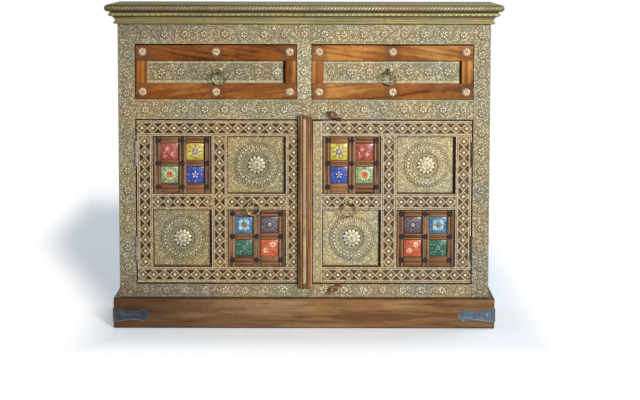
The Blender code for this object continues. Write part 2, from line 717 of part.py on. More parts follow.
def drawer_box(side, outer, front):
    """One open box that runs on the deck on the lower edges of its sides."""
    low = DRAWER_FLOOR + SEAT
    high = DRAWER_CEILING - DRAWER_HEADROOM
    back = BACK_FACE - DRAWER_BACK_ROOM
    box = board(f"{side}_drawer_box", CASE_WOOD, outer, (front, back), (low, high))
    inside_x = (outer[0] + DRAWER_WALL, outer[1] - DRAWER_WALL)
    inside_y = (front + DRAWER_WALL, back - DRAWER_WALL)
    floor_low = low + DRAWER_BOTTOM_RISE
    cavity = bmesh.new()
    block(cavity, inside_x, inside_y, (floor_low + DRAWER_BOTTOM, high + DRAWER_WALL))
    cut(box, cavity, "cavity")
    underside = bmesh.new()
    block(underside, inside_x, inside_y, (low - DRAWER_WALL, floor_low))
    cut(box, underside, "underside")
    return box


# Doors

def door_windows(side):
    """The four openings of a door, by column and row, as x and z pairs."""
    inner = on_side(side, DOOR_INNER_EDGE, DOOR_INNER_EDGE + WINDOW_WIDTH)
    outer = on_side(side, DOOR_EDGE - DOOR_STILE - WINDOW_WIDTH, DOOR_EDGE - DOOR_STILE)
    lower_floor = DOOR_LOW + DOOR_BOTTOM_RAIL
    upper_floor = lower_floor + WINDOW_HEIGHT + DOOR_MID_RAIL
    lower = (lower_floor, lower_floor + WINDOW_HEIGHT)
    upper = (upper_floor, upper_floor + WINDOW_HEIGHT)
    return {(column, row): (x, z) for column, x in (("inner", inner), ("outer", outer))
            for row, z in (("lower", lower), ("upper", upper))}


def grown(pair, margin):
    """Widen a (low, high) pair by a margin at both ends."""
    return (pair[0] - margin, pair[1] + margin)


def fret_pocket(bm, x, z, point_deg):
    """One tapered triangular pocket whose point faces the middle of its band."""
    half_base = FRET_PITCH / 2 - FRET_RIDGE
    rise = FRET_WIDTH / 2 - FRET_RIDGE
    shape = Matrix.Diagonal((half_base / math.cos(math.radians(30)), rise / 1.5, 1.0, 1.0))
    turn = Matrix.Rotation(math.radians(point_deg), 4, "Z")
    seat = Matrix.Translation((0, -rise / 1.5, 0))
    place = Matrix.Translation((x, FRONT, z)) @ FACING_FRONT @ turn @ seat @ shape
    bmesh.ops.create_cone(bm, cap_ends=True, segments=3, radius1=FRET_TAPER, radius2=2 - FRET_TAPER,
                          depth=2 * FRET_DEPTH, matrix=place)


def fret_band(bm, fixed, run, upright, both=True):
    """Pockets along one band: a pair of facing triangles between every two diamonds."""
    count = round((run[1] - run[0]) / FRET_PITCH)
    pitch = (run[1] - run[0]) / count
    tip = FRET_RIDGE / 2
    for index in range(1, count):
        along = run[0] + index * pitch
        if upright:
            fret_pocket(bm, fixed - tip, along, 270)
            if both:
                fret_pocket(bm, fixed + tip, along, 90)
        else:
            fret_pocket(bm, along, fixed + tip, 180)
            fret_pocket(bm, along, fixed - tip, 0)


def door_fret(side, windows):
    """The carved bands of one door: rails and muntin run through, the short rails lie between them.

    The closing strip hides half of the left door's inner band, and the right door's inner stile is plain.
    """
    bm = bmesh.new()
    inner, lower = windows["inner", "lower"]
    outer, upper = windows["outer", "upper"]
    rail_run = (outer[0] - DOOR_STILE, inner[1]) if side == "left" else (inner[0], outer[1] + DOOR_STILE)
    column_run = (lower[0], upper[1])
    for height in ((DOOR_LOW + lower[0]) / 2, (upper[1] + DOOR_HIGH) / 2):
        fret_band(bm, height, rail_run, upright=False)
    for run in (inner, outer):
        fret_band(bm, (lower[1] + upper[0]) / 2, run, upright=False)
    sign = SIDES[side]
    fret_band(bm, sign * (DOOR_INNER_EDGE + WINDOW_WIDTH + DOOR_MUNTIN / 2), column_run, upright=True)
    fret_band(bm, sign * (DOOR_EDGE - DOOR_STILE / 2), column_run, upright=True)
    if side == "left":
        fret_band(bm, DOOR_INNER_BAND - DOOR_INNER_EDGE, column_run, upright=True, both=False)
    return bm


def door_frame(side, span):
    """The joined frame: four rebated openings and the carved fret."""
    frame = board(f"{side}_door_frame", FRET_WOOD, span, (FRONT, FRONT + DOOR_THICK), (DOOR_LOW, DOOR_HIGH))
    windows = door_windows(side)
    openings = bmesh.new()
    rebates = bmesh.new()
    for x, z in windows.values():
        block(openings, x, (FRONT - DOOR_LIP, FRONT + DOOR_LIP + DOOR_REBATE), z)
        block(rebates, grown(x, DOOR_REBATE), (FRONT + DOOR_LIP, FRONT + DOOR_THICK + DOOR_LIP),
              grown(z, DOOR_REBATE))
    cut(frame, openings, "openings")
    cut(frame, rebates, "rebates")
    cut(frame, door_fret(side, windows), "fret")
    return frame


def door_board(name, x, z, material):
    """The board that closes one opening from behind."""
    margin = DOOR_REBATE - SEAT
    return board(name, material, grown(x, margin),
                 (FRONT + DOOR_LIP + SEAT, FRONT + DOOR_THICK - DOOR_PANEL_RECESS), grown(z, margin))


def medallion(name, x, z):
    """A board with a turned medallion: flat rim, ring and domed boss."""
    panel = door_board(name, x, z, SHEET)
    boss = arc((0.0, 0.0), 1.0, 90, 0, 4)
    step = MEDALLION_RIM * 2
    crown = [(MEDALLION_BOSS * u, step + (MEDALLION_BOSS_HEIGHT - step) * v) for u, v in boss]
    crown[0] = (0.0, MEDALLION_BOSS_HEIGHT)
    profile = crown + [(MEDALLION_BOSS, MEDALLION_RIM / 2), (MEDALLION_RING, MEDALLION_RIM / 2),
                       (MEDALLION_RING + MEDALLION_RIM, step), (MEDALLION_RADIUS, MEDALLION_RIM),
                       (MEDALLION_RADIUS, -MEDALLION_RIM), (0.0, -MEDALLION_RIM)]
    centre = Vector(((x[0] + x[1]) / 2, FRONT + DOOR_LIP + SEAT, (z[0] + z[1]) / 2))
    rosette = turned(f"{name}_rosette_tool", profile, MEDALLION_STEPS, Matrix.Translation(centre) @ FACING_FRONT)
    combine(panel, rosette, "UNION")
    return panel


def tile_centres(x, z):
    """Centres of the four tiles of a panel, and the visible size of one."""
    wide = (x[1] - x[0] - 3 * LATTICE_BAR) / 2
    high = (z[1] - z[0] - 3 * LATTICE_BAR) / 2
    columns = (x[0] + LATTICE_BAR + wide / 2, x[1] - LATTICE_BAR - wide / 2)
    rows = (z[0] + LATTICE_BAR + high / 2, z[1] - LATTICE_BAR - high / 2)
    return [(column, row) for column in columns for row in rows], wide, high


def tiles(name, x, z):
    """Four tiles set on one board, each standing up into its window of the lattice."""
    panel = door_board(name, x, z, GLAZE)
    centres, wide, high = tile_centres(x, z)
    pads = bmesh.new()
    for column, row in centres:
        block(pads, grown((column, column), wide / 2 - SEAT),
              (FRONT + TILE_SUNK, FRONT + (DOOR_LIP + DOOR_THICK) / 2), grown((row, row), high / 2 - SEAT))
    join(panel, pads, "pads")
    return panel


def lattice(name, x, z):
    """Nine-crossing wooden lattice with bevelled windows and a domed stud on each crossing."""
    depth = (FRONT + LATTICE_SUNK, FRONT + DOOR_LIP)
    grid = board(name, WOOD, grown(x, -SEAT), depth, grown(z, -SEAT))
    centres, wide, high = tile_centres(x, z)
    bars = depth[1] - depth[0]
    slope = 2 * LATTICE_CHAMFER / bars
    windows = bmesh.new()
    for column, row in centres:
        reach = bars * 2
        shape = Matrix.Diagonal((wide, high, 1.0, 1.0)) @ Matrix.Rotation(math.pi / 4, 4, "Z")
        place = Matrix.Translation((column, depth[1], row)) @ FACING_FRONT @ shape
        corner = math.sqrt(0.5)
        bmesh.ops.create_cone(windows, cap_ends=True, segments=4, depth=2 * reach, matrix=place,
                              radius1=corner * (1 - slope * reach / wide),
                              radius2=corner * (1 + slope * reach / wide))
    cut(grid, windows, "windows")
    studs = bmesh.new()
    half = LATTICE_BAR / 2
    for column in (x[0] + half, (x[0] + x[1]) / 2, x[1] - half):
        for row in (z[0] + half, (z[0] + z[1]) / 2, z[1] - half):
            dome(studs, Vector((column, depth[0], row)), LATTICE_STUD_RADIUS, LATTICE_STUD_HEIGHT)
    join(grid, studs, "studs")
    return grid


def closing_strip():
    """Reeded strip on the right door, with a raised fillet and ends that lap over the rails."""
    left = MEETING_X + MEETING_GAP / 2
    middle = (left + STRIP_RIGHT) / 2
    half = (STRIP_RIGHT - left) / 2
    foot = FRONT - SEAT
    reeds = []
    reed_from = STRIP_FILLET_WIDTH / 2
    shoulder = STRIP_PROUD - STRIP_FILLET_HEIGHT
    for index in range(STRIP_REEDS):
        far = half - index * STRIP_REED
        lift = STRIP_EDGE + (shoulder - STRIP_EDGE) * index / STRIP_REEDS
        reeds += arc((far - STRIP_REED / 2, lift), STRIP_REED / 2, 0, 180, 4)
    inner = [(half - STRIP_REEDS * STRIP_REED, shoulder), (reed_from, shoulder)]
    right_half = [(half, 0.0)] + reeds + inner
    profile = right_half + [(-u, v) for u, v in reversed(right_half)]
    low = DOOR_LOW - STRIP_LAP_BOTTOM
    high = DOOR_HIGH + STRIP_LAP_TOP
    bm = bmesh.new()
    ends = extruded(bm, [(middle + u, foot - v, low) for u, v in profile], (0, 0, high - low))
    for vert in bm.verts:
        if foot - vert.co.y > STRIP_EDGE - SEAT:
            vert.co.z += -STRIP_END_CHAMFER if vert in ends else STRIP_END_CHAMFER
    strip = add_object("closing_strip", bm, WOOD)
    fillet = bmesh.new()
    block(fillet, (middle - reed_from, middle + reed_from), (foot - STRIP_PROUD, foot - STRIP_EDGE),
          (DOOR_LOW, DOOR_HIGH))
    join(strip, fillet, "fillet")
    return strip


def door(side):
    """One hinged door with its panels, tiles, hinge leaves and ring pull."""
    meeting = MEETING_X + SIDES[side] * MEETING_GAP / 2
    span = tuple(sorted((meeting, SIDES[side] * DOOR_EDGE)))
    pieces = [door_frame(side, span)]
    tiled = {("outer", "upper"), ("inner", "lower")} if side == "left" else {("inner", "upper"), ("outer", "lower")}
    for (column, row), (x, z) in door_windows(side).items():
        if (column, row) in tiled:
            pieces.append(tiles(f"{side}_door_{row}_tiles", x, z))
            pieces.append(lattice(f"{side}_door_{row}_lattice", x, z))
        else:
            pieces.append(medallion(f"{side}_door_{row}_medallion", x, z))
    for place, middle in (("lower", DOOR_FLOOR + HINGE_FROM_FLOOR), ("upper", DOOR_CEILING - HINGE_FROM_CEILING)):
        pieces.append(hinge(side, place, middle - HINGE_LENGTH / 2))
    if side == "right":
        pieces.append(closing_strip())
    mid_rail = DOOR_LOW + DOOR_BOTTOM_RAIL + WINDOW_HEIGHT + DOOR_MID_RAIL / 2
    pull_x = DOOR_INNER_EDGE + WINDOW_WIDTH / 2 + DOOR_PULL_SHIFT[side]
    face = Vector((SIDES[side] * pull_x, FRONT, mid_rail))
    stud, ring_pivot = pull(f"{side}_door_pull", face, DOOR_STUD_REACH)
    swing = pivot(f"{side}_door_swing", Vector((SIDES[side] * HINGE_X, HINGE_Y, DOOR_LOW)))
    carry(swing, pieces + [stud, ring_pivot])


# Turn buttons

def button_outline():
    """Leaf with a pointed tail behind its screw and a narrow rounded arm."""
    steps = 6
    upper = []
    for index in range(1, 2 * steps):
        along = -BUTTON_TAIL + (BUTTON_TAIL + BUTTON_ARM) * index / (2 * steps)
        swell = math.sqrt(max(0.0, 1 - (along / (BUTTON_TAIL if along < 0 else BUTTON_ARM)) ** 2))
        tip = BUTTON_TIP_HALF if along > 0 else 0.0
        upper.append((along, tip * swell + (BUTTON_HALF - tip) * swell ** 2))
    return [(-BUTTON_TAIL, 0.0)] + upper + [(BUTTON_ARM, 0.0)] + [(u, -v) for u, v in reversed(upper)]


def turn_button(name, place, turn_deg):
    """One leaf-shaped turn button on its screw, stored just clear of the door."""
    centre = place + Vector((0, -(BUTTON_BOSS_HEIGHT + SEAT + BUTTON_THICK / 2), 0))
    turn = Matrix.Rotation(math.radians(turn_deg), 4, "Z")
    bm = plate(name, button_outline(), BUTTON_THICK, Matrix.Translation(centre) @ FACING_FRONT @ turn, 1)
    button = add_object(name, bm, WOOD)
    hole = bmesh.new()
    bmesh.ops.create_cone(hole, cap_ends=True, segments=12, radius1=BUTTON_SHANK + PIN_PLAY,
                          radius2=BUTTON_SHANK + PIN_PLAY, depth=3 * BUTTON_THICK,
                          matrix=Matrix.Translation(centre) @ FACING_FRONT)
    cut(button, hole, "hole")
    carry(pivot(f"{name}_pivot", place), [button])


plinth()
for each_side in SIDES:
    corner_strap(each_side)
case()
face_frame()
cornice()
top_board()
for each_side in SIDES:
    drawer(each_side)
    door(each_side)
for button_name, button_place in button_pivot_places().items():
    turn_button(f"{button_name}_turn_button", button_place, BUTTON_REST_DEG[button_name])
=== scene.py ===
# %% [markdown]
# # A sheet-clad sideboard with tiled doors
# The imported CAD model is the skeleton: its boards, doors and drawers stay where they are. This lesson
# dresses it. Flat boards keep their CAD shape and get a good finish; chased metal, carved fret, glazed
# tiles and small fittings are modelled on top with bmesh operators, because their highlights and shadows
# need real shape.

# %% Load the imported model
import math
import random

import bmesh
import bpy
from mathutils import Matrix, Vector


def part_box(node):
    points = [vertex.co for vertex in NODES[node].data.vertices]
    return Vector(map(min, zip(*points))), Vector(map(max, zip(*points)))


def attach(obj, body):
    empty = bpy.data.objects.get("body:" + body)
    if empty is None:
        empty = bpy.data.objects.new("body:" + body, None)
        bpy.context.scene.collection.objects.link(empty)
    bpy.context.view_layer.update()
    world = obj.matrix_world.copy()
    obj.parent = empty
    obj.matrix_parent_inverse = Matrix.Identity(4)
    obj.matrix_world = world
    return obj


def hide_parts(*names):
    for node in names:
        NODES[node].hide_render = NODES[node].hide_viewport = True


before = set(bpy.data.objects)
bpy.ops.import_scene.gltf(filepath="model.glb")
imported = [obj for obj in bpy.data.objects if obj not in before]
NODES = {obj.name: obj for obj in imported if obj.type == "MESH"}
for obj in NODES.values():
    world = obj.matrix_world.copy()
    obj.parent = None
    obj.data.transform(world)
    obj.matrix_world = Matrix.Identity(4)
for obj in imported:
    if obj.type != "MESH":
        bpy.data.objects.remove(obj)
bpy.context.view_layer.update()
SIDES = {"left": -1.0, "right": 1.0}
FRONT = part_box("stile_left")[0].y

# %% [markdown]
# ## Camera
# The photo looks at the front from a little above the top, from far away, so the verticals hardly converge.
# A long lens far off gives the same drawing. The camera's tilt and its small roll are turned in one matrix.

# %% Camera
IMAGE_WIDTH = 640
FOCAL_PIXELS = 2099.3
SENSOR_WIDTH = 36.0
CAMERA_PLACE = Vector((0.0441, -5.963, 1.0414))
CAMERA_DOWN = 6.715
CAMERA_ROLL = 0.094


def turned(degrees, axis):
    """A rotation matrix, in degrees."""
    return Matrix.Rotation(math.radians(degrees), 4, axis)


def new_object(name, data):
    """An object in the scene, for a mesh, a lamp or a camera."""
    made = bpy.data.objects.new(name, data)
    bpy.context.scene.collection.objects.link(made)
    return made


lens = bpy.data.cameras.new("portrait_camera")
lens.sensor_width = SENSOR_WIDTH
lens.lens = FOCAL_PIXELS * SENSOR_WIDTH / IMAGE_WIDTH
camera = new_object("portrait_camera", lens)
tilt = turned(90 - CAMERA_DOWN, "X") @ turned(CAMERA_ROLL, "Z")
camera.matrix_world = Matrix.Translation(CAMERA_PLACE) @ tilt
bpy.context.scene.camera = camera
bpy.context.scene.view_settings.view_transform = "Standard"
print("camera: lens", round(lens.lens, 2), "mm")

# %% [markdown]
# ## Node helpers
# Shader trees are easier to read when one call adds a node, sets its options and wires its inputs. An input
# that is given a socket is linked; anything else is set as its value. Colours are written as the sRGB
# numbers that a paint program shows, and turned into the linear light that shaders count in.

# %% Node helpers
def swatch(red, green, blue):
    """The linear colour of an sRGB reading of 0 to 255."""
    parts = [value / 255 for value in (red, green, blue)]
    light = [part / 12.92 if part <= 0.04045 else ((part + 0.055) / 1.055) ** 2.4 for part in parts]
    return (*light, 1.0)


def put(tree, kind, inputs=None, **settings):
    """Add a node, set its options, and link or set its inputs."""
    made = tree.nodes.new(kind)
    for key, value in settings.items():
        setattr(made, key, value)
    for key, value in (inputs or {}).items():
        if isinstance(value, bpy.types.NodeSocket):
            tree.links.new(value, made.inputs[key])
        else:
            made.inputs[key].default_value = value
    return made


def maths(tree, operation, first, second=0.0):
    return put(tree, "ShaderNodeMath", {0: first, 1: second}, operation=operation).outputs[0]


def times(tree, first, second):
    return maths(tree, "MULTIPLY", first, second)


def mix(tree, share, first, second, how="MIX"):
    inputs = {0: share, 6: first, 7: second}
    return put(tree, "ShaderNodeMix", inputs, data_type="RGBA", blend_type=how).outputs[2]


def ease(tree, value, low, high):
    """0 below low, 1 above high and a smooth step between; low may be the larger, to turn it round."""
    inputs = {"Value": value, "From Min": low, "From Max": high}
    return put(tree, "ShaderNodeMapRange", inputs, interpolation_type="SMOOTHSTEP").outputs[0]


def remap(tree, value, low, high):
    """Stretch a mask of 0 to 1 over a range of values."""
    return put(tree, "ShaderNodeMapRange", {"Value": value, "To Min": low, "To Max": high}).outputs[0]


def band(tree, value, low, high, soft=0.0005):
    """1 between two places, with soft ends."""
    return times(tree, ease(tree, value, low, low + soft), ease(tree, value, high, high - soft))


def object_place(tree):
    return put(tree, "ShaderNodeTexCoord").outputs["Object"]


def coordinates(tree, place):
    return put(tree, "ShaderNodeSeparateXYZ", {0: place}).outputs


def attribute(tree, name, output="Fac"):
    """What a mesh carries under a name: a number, or a vector where output says so."""
    return put(tree, "ShaderNodeAttribute", attribute_name=name).outputs[output]


def noise(tree, place, scale, detail=2.0, distortion=0.0):
    inputs = {"Vector": place, "Scale": scale, "Detail": detail, "Distortion": distortion}
    return put(tree, "ShaderNodeTexNoise", inputs).outputs["Fac"]


def stretched(tree, place, scale):
    """The coordinates, scaled by a vector, so that a texture is drawn long along one axis."""
    return put(tree, "ShaderNodeMapping", {"Vector": place, "Scale": scale}).outputs["Vector"]


def new_group(name, inputs, outputs):
    """A shader node group with named sockets: its tree, and the sockets at its inner start and end."""
    tree = bpy.data.node_groups.new(name, "ShaderNodeTree")
    for way, sockets in (("INPUT", inputs), ("OUTPUT", outputs)):
        for label, kind in sockets.items():
            tree.interface.new_socket(label, in_out=way, socket_type="NodeSocket" + kind)
    return tree, tree.nodes.new("NodeGroupInput").outputs, tree.nodes.new("NodeGroupOutput").inputs


def grouped(tree, group, **inputs):
    """Place a node group in a tree, with its own values, and give its outputs."""
    return put(tree, "ShaderNodeGroup", inputs, node_tree=group).outputs


def new_finish(name, constants):
    """A material and its tree, with plain values set on its shader's own sockets."""
    finish = bpy.data.materials.new(name)
    finish.use_nodes = True
    shader = finish.node_tree.nodes["Principled BSDF"]
    for label, value in constants.items():
        shader.inputs[label].default_value = value
    return finish, finish.node_tree


def complete(finish, sockets, height, strength, distance):
    """Link what changes over a surface to its shader, add a bump, and give the finish back."""
    tree = finish.node_tree
    shader = tree.nodes["Principled BSDF"]
    inputs = {"Height": height, "Strength": strength, "Distance": distance}
    for label, value in sockets.items():
        tree.links.new(value, shader.inputs[label])
    tree.links.new(put(tree, "ShaderNodeBump", inputs).outputs["Normal"], shader.inputs["Normal"])
    return finish


print("node helpers ready; mid grey reads", round(swatch(128, 128, 128)[0], 3), "in linear light")

# %% [markdown]
# ## Floor and light
# The studio is white all round. A low sun beside the camera throws the pale shadow that runs back to the
# left, and a soft panel overhead, behind and to the right, the one at the foot of the plinth. A spot lamp
# with a soft edge, far to the right, rakes over the relief and makes the upper right brighter; it is kept
# off the floor. A weak fill from behind, just under floor level, shows the plain back without shining on
# the top or the floor. The floor is a big matt white sheet. To the rays that show it, it is whiter than it
# is to the light that bounces, and faintly blue. Outside the patch that holds the shadow it simply glows,
# so it reads as paper.

# %% Lamps and sky
SKY_LIGHT = 0.20
LAMP_AIM = Vector((0.24, FRONT, 0.70))
LAMP_DISTANCE = 5.0
SPOT_RADIUS = 0.35
SPOT_COLOUR = (1.0, 0.99, 0.97)
# Each lamp: kind, strength, spread of its light, turn to the right and rise; all angles in degrees.
LAMPS = {
    "low_sun": ("SUN", 1.68, 8.0, 20.0, 16.0),
    "overhead_panel": ("SUN", 0.28, 24.0, 145.0, 66.0),
    "soft_spot": ("SPOT", 910.0, 21.0, 44.0, 14.0),
    "low_back_fill": ("SUN", 0.80, 6.0, 200.0, -5.0),
}


def looked_at(tree):
    """1 for the rays that show a thing: straight from the camera, mirrored, or through glass."""
    path = put(tree, "ShaderNodeLightPath").outputs
    seen = maths(tree, "MAXIMUM", path["Is Camera Ray"], path["Is Glossy Ray"])
    return maths(tree, "MAXIMUM", seen, path["Is Transmission Ray"])


def hang(name, kind, strength, spread, turn, rise):
    """Hang a lamp round the point that all the lamps face."""
    light = bpy.data.lights.new(name, kind)
    light.energy = strength
    if kind == "SPOT":
        light.spot_size = math.radians(spread)
        light.spot_blend = 1.0
        light.shadow_soft_size = SPOT_RADIUS
        light.color = SPOT_COLOUR
    else:
        light.angle = math.radians(spread)
    lamp = new_object(name, light)
    arm = turned(turn, "Z") @ turned(-rise, "X") @ Vector((0.0, -LAMP_DISTANCE, 0.0))
    facing = arm.to_track_quat("Z", "Y").to_matrix().to_4x4()
    lamp.matrix_world = Matrix.Translation(LAMP_AIM + arm) @ facing
    return lamp


world = bpy.data.worlds.new("white_studio")
world.use_nodes = True
bpy.context.scene.world = world
sky_tree = world.node_tree
sky = sky_tree.nodes["Background"]
sky.inputs["Color"].default_value = (1.0, 1.0, 1.0, 1.0)
sky_tree.links.new(remap(sky_tree, looked_at(sky_tree), SKY_LIGHT, 1.0), sky.inputs["Strength"])
lamps = {name: hang(name, *values) for name, values in LAMPS.items()}
print("lamps:", *lamps)

# %% Floor
FLOOR_REACH = 40.0
FLOOR_BOUNCE = (0.85, 0.85, 0.85, 1.0)
FLOOR_SEEN = (1.90, 2.08, 2.29, 1.0)
# Over these ranges the paper turns from a matt patch, which takes the shadow, into a plain glow.
PATCH_LEFT = (-0.48, -0.66)
PATCH_RIGHT = (0.58, 0.70)
PATCH_FRONT = (-0.30, -0.62)
PATCH_BACK = (2.2, 3.6)
# Towards the back the patch's left edge moves out by so much.
PATCH_DEPTH = (-0.3, 1.9)
PATCH_WIDENING = 0.36
paper = bpy.data.materials.new("white_paper")
paper.use_nodes = True
paper_tree = paper.node_tree
paper_tree.nodes.clear()
seen = looked_at(paper_tree)
white = mix(paper_tree, seen, FLOOR_BOUNCE, FLOOR_SEEN)
matt = put(paper_tree, "ShaderNodeBsdfDiffuse", {"Color": white}).outputs[0]
far_white = put(paper_tree, "ShaderNodeEmission", {"Strength": seen}).outputs[0]
floor_x, floor_y = coordinates(paper_tree, object_place(paper_tree))[:2]
widening = times(paper_tree, ease(paper_tree, floor_y, *PATCH_DEPTH), PATCH_WIDENING)
glow = ease(paper_tree, maths(paper_tree, "ADD", floor_x, widening), *PATCH_LEFT)
for across, edge in ((floor_y, PATCH_FRONT), (floor_y, PATCH_BACK), (floor_x, PATCH_RIGHT)):
    glow = maths(paper_tree, "MAXIMUM", glow, ease(paper_tree, across, *edge))
surface = put(paper_tree, "ShaderNodeMixShader", {0: glow, 1: matt, 2: far_white}).outputs[0]
put(paper_tree, "ShaderNodeOutputMaterial", {"Surface": surface})

sheet_of_paper = bmesh.new()
bmesh.ops.create_grid(sheet_of_paper, x_segments=1, y_segments=1, size=FLOOR_REACH)
floor_mesh = bpy.data.meshes.new("studio_floor")
sheet_of_paper.to_mesh(floor_mesh)
sheet_of_paper.free()
floor_mesh.materials.append(paper)
floor = new_object("studio_floor", floor_mesh)
unlit = bpy.data.collections.new("kept_out_of_the_beam")
unlit.objects.link(floor)
unlit.collection_objects[0].light_linking.link_state = "EXCLUDE"
for name in ("soft_spot", "low_back_fill"):
    lamps[name].light_linking.receiver_collection = unlit
lamps["low_back_fill"].light_linking.blocker_collection = unlit
print("floor reaches", FLOOR_REACH, "m each way, and the spot and fill lamps leave it out")

# %% [markdown]
# ## Shared surface effects
# Three effects come back in several finishes, so each is a node group. Board grain draws long streaks along
# one axis, with fine pores. Beaten ground is the small curls and dots that a punch leaves between the
# flowers of the embossed sheet. Patina is age: slow drifts of warm and grey, small grime, rubbed spots and a
# cool edge. One of its masks makes the left of the piece darker than the right, most of all at its foot and
# under the top: partly tarnished metal and wood, partly painted shade for light that falls off to the left.

# %% Board grain group
BOARD_GRAIN, grain_in, grain_out = new_group(
    "board_grain",
    {"Vector": "Vector", "Dark": "Color", "Middle": "Color", "Light": "Color"},
    {"Color": "Color", "Figure": "Float"},
)


def along_board(scale, detail, distortion=0.0):
    place = stretched(BOARD_GRAIN, grain_in["Vector"], scale)
    return noise(BOARD_GRAIN, place, 1.0, detail, distortion)


streaks = along_board((3.0, 46.0, 46.0), 5.0, 1.2)
patches = along_board((6.0, 16.0, 16.0), 3.0, 0.8)
pores = along_board((30.0, 640.0, 640.0), 2.0)
wave_place = stretched(BOARD_GRAIN, grain_in["Vector"], (2.2, 21.0, 13.0))
wave = {"Vector": wave_place, "Scale": 1.0, "Distortion": 7.0, "Detail": 2.0, "Detail Scale": 0.7}
arches = put(BOARD_GRAIN, "ShaderNodeTexWave", wave, bands_direction="Y").outputs["Fac"]
figure = times(BOARD_GRAIN, streaks, 0.50)
for part, share in ((patches, 0.34), (arches, 0.10), (pores, 0.08)):
    figure = maths(BOARD_GRAIN, "ADD", figure, times(BOARD_GRAIN, part, share))
shade = mix(BOARD_GRAIN, ease(BOARD_GRAIN, figure, 0.38, 0.49), grain_in["Dark"], grain_in["Middle"])
shade = mix(BOARD_GRAIN, ease(BOARD_GRAIN, figure, 0.50, 0.62), shade, grain_in["Light"])
BOARD_GRAIN.links.new(shade, grain_out["Color"])
porous = maths(BOARD_GRAIN, "ADD", figure, times(BOARD_GRAIN, pores, 0.5))
BOARD_GRAIN.links.new(porous, grain_out["Figure"])
print("board_grain:", len(BOARD_GRAIN.nodes), "nodes")

# %% Beaten ground and patina groups
BEATEN_GROUND, beat_in, beat_out = new_group(
    "beaten_ground", {"Vector": "Vector", "Scale": "Float"}, {"Raised": "Float"}
)
enlarged = {0: beat_in["Vector"], 3: beat_in["Scale"]}
beat_place = put(BEATEN_GROUND, "ShaderNodeVectorMath", enlarged, operation="SCALE").outputs[0]
coarse = {"Vector": beat_place, "Scale": 1.0, "Randomness": 0.9}
fine = {"Vector": beat_place, "Scale": 2.1}
cells, seeds = (
    put(BEATEN_GROUND, "ShaderNodeTexVoronoi", grid).outputs["Distance"] for grid in (coarse, fine)
)
ring = maths(BEATEN_GROUND, "ABSOLUTE", maths(BEATEN_GROUND, "SUBTRACT", cells, 0.34))
broken = ease(BEATEN_GROUND, noise(BEATEN_GROUND, beat_place, 0.9, 1.0), 0.40, 0.54)
curls = times(BEATEN_GROUND, ease(BEATEN_GROUND, ring, 0.16, 0.05), broken)
dots = times(BEATEN_GROUND, ease(BEATEN_GROUND, seeds, 0.42, 0.18), 0.7)
raised = maths(BEATEN_GROUND, "MAXIMUM", curls, dots)
raised = maths(BEATEN_GROUND, "MAXIMUM", raised, ease(BEATEN_GROUND, cells, 0.17, 0.07))
BEATEN_GROUND.links.new(raised, beat_out["Raised"])

AGE_MASKS = ("Warm", "Grey", "Grime", "Rubbed", "Tarnish", "Ends", "Cool")
PATINA, age_in, age_out = new_group("patina", {"Vector": "Vector"}, {label: "Float" for label in AGE_MASKS})
here = age_in["Vector"]
moved = put(PATINA, "ShaderNodeMapping", {"Vector": here, "Location": (3.1, 1.7, 5.3)}).outputs["Vector"]
DRIFTS = (
    ("Warm", here, 7.0, 3.0, 0.42, 0.62),
    ("Grey", moved, 12.0, 3.0, 0.46, 0.66),
    ("Grime", moved, 85.0, 4.0, 0.42, 0.74),
    ("Rubbed", moved, 21.0, 2.0, 0.30, 0.62),
)
for label, place, scale, detail, low, high in DRIFTS:
    PATINA.links.new(ease(PATINA, noise(PATINA, place, scale, detail), low, high), age_out[label])
sideways, _, upward = coordinates(PATINA, here)
# Darker towards the left: partly tarnished, partly painted shade for light that falls off that way.
tarnish_and_shade = ease(PATINA, sideways, 0.08, -0.55)
# On the left, darker still at the foot and under the top: more painted shade there.
under_top = times(PATINA, ease(PATINA, upward, 0.79, 0.83), 0.6)
ends = maths(PATINA, "MAXIMUM", ease(PATINA, upward, 0.19, 0.10), under_top)
PATINA.links.new(tarnish_and_shade, age_out["Tarnish"])
PATINA.links.new(times(PATINA, tarnish_and_shade, ends), age_out["Ends"])
PATINA.links.new(ease(PATINA, sideways, 0.44, 0.475), age_out["Cool"])
print("beaten_ground:", len(BEATEN_GROUND.nodes), "nodes; patina:", len(PATINA.nodes), "nodes")

# %% [markdown]
# ## Finishes
# The cladding is thin brass sheet over wood: dull and dark in the hollows, rubbed bright on whatever stands
# up. Relief pieces carry a vertex attribute, crest, that is 1 on their tops and below 0 in the dark
# collars, and the finish reads it. Wood boards read a vector attribute, grain, whose first axis runs along
# the board; CAD boards have no such attribute and take Object coordinates in the right order instead.

# %% Sheet finishes
PLAIN = (1.0, 1.0, 1.0, 1.0)
# Tints for the masks of age; those for the left side and its ends are partly painted shade.
SHEET_AGE = {
    "Grey": (0.94, 0.96, 1.06, 1.0),
    "Tarnish": (0.92, 0.90, 0.87, 1.0),
    "Ends": (0.70, 0.62, 0.69, 1.0),
    "Cool": (0.89, 0.92, 0.99, 1.0),
}


def aged_finish(name, constants):
    """A new finish, its tree, its Object coordinates and the masks of its age."""
    finish, tree = new_finish(name, constants)
    place = object_place(tree)
    return finish, tree, place, grouped(tree, PATINA, Vector=place)


def weathered(tree, colour, age, cool, warm, **tints):
    """Let a colour drift between a cool and a warm tint, and tint it by other masks of age."""
    colour = mix(tree, 1.0, colour, mix(tree, age["Warm"], cool, warm), "MULTIPLY")
    for label, shade in tints.items():
        colour = mix(tree, 1.0, colour, mix(tree, age[label], PLAIN, shade), "MULTIPLY")
    return colour


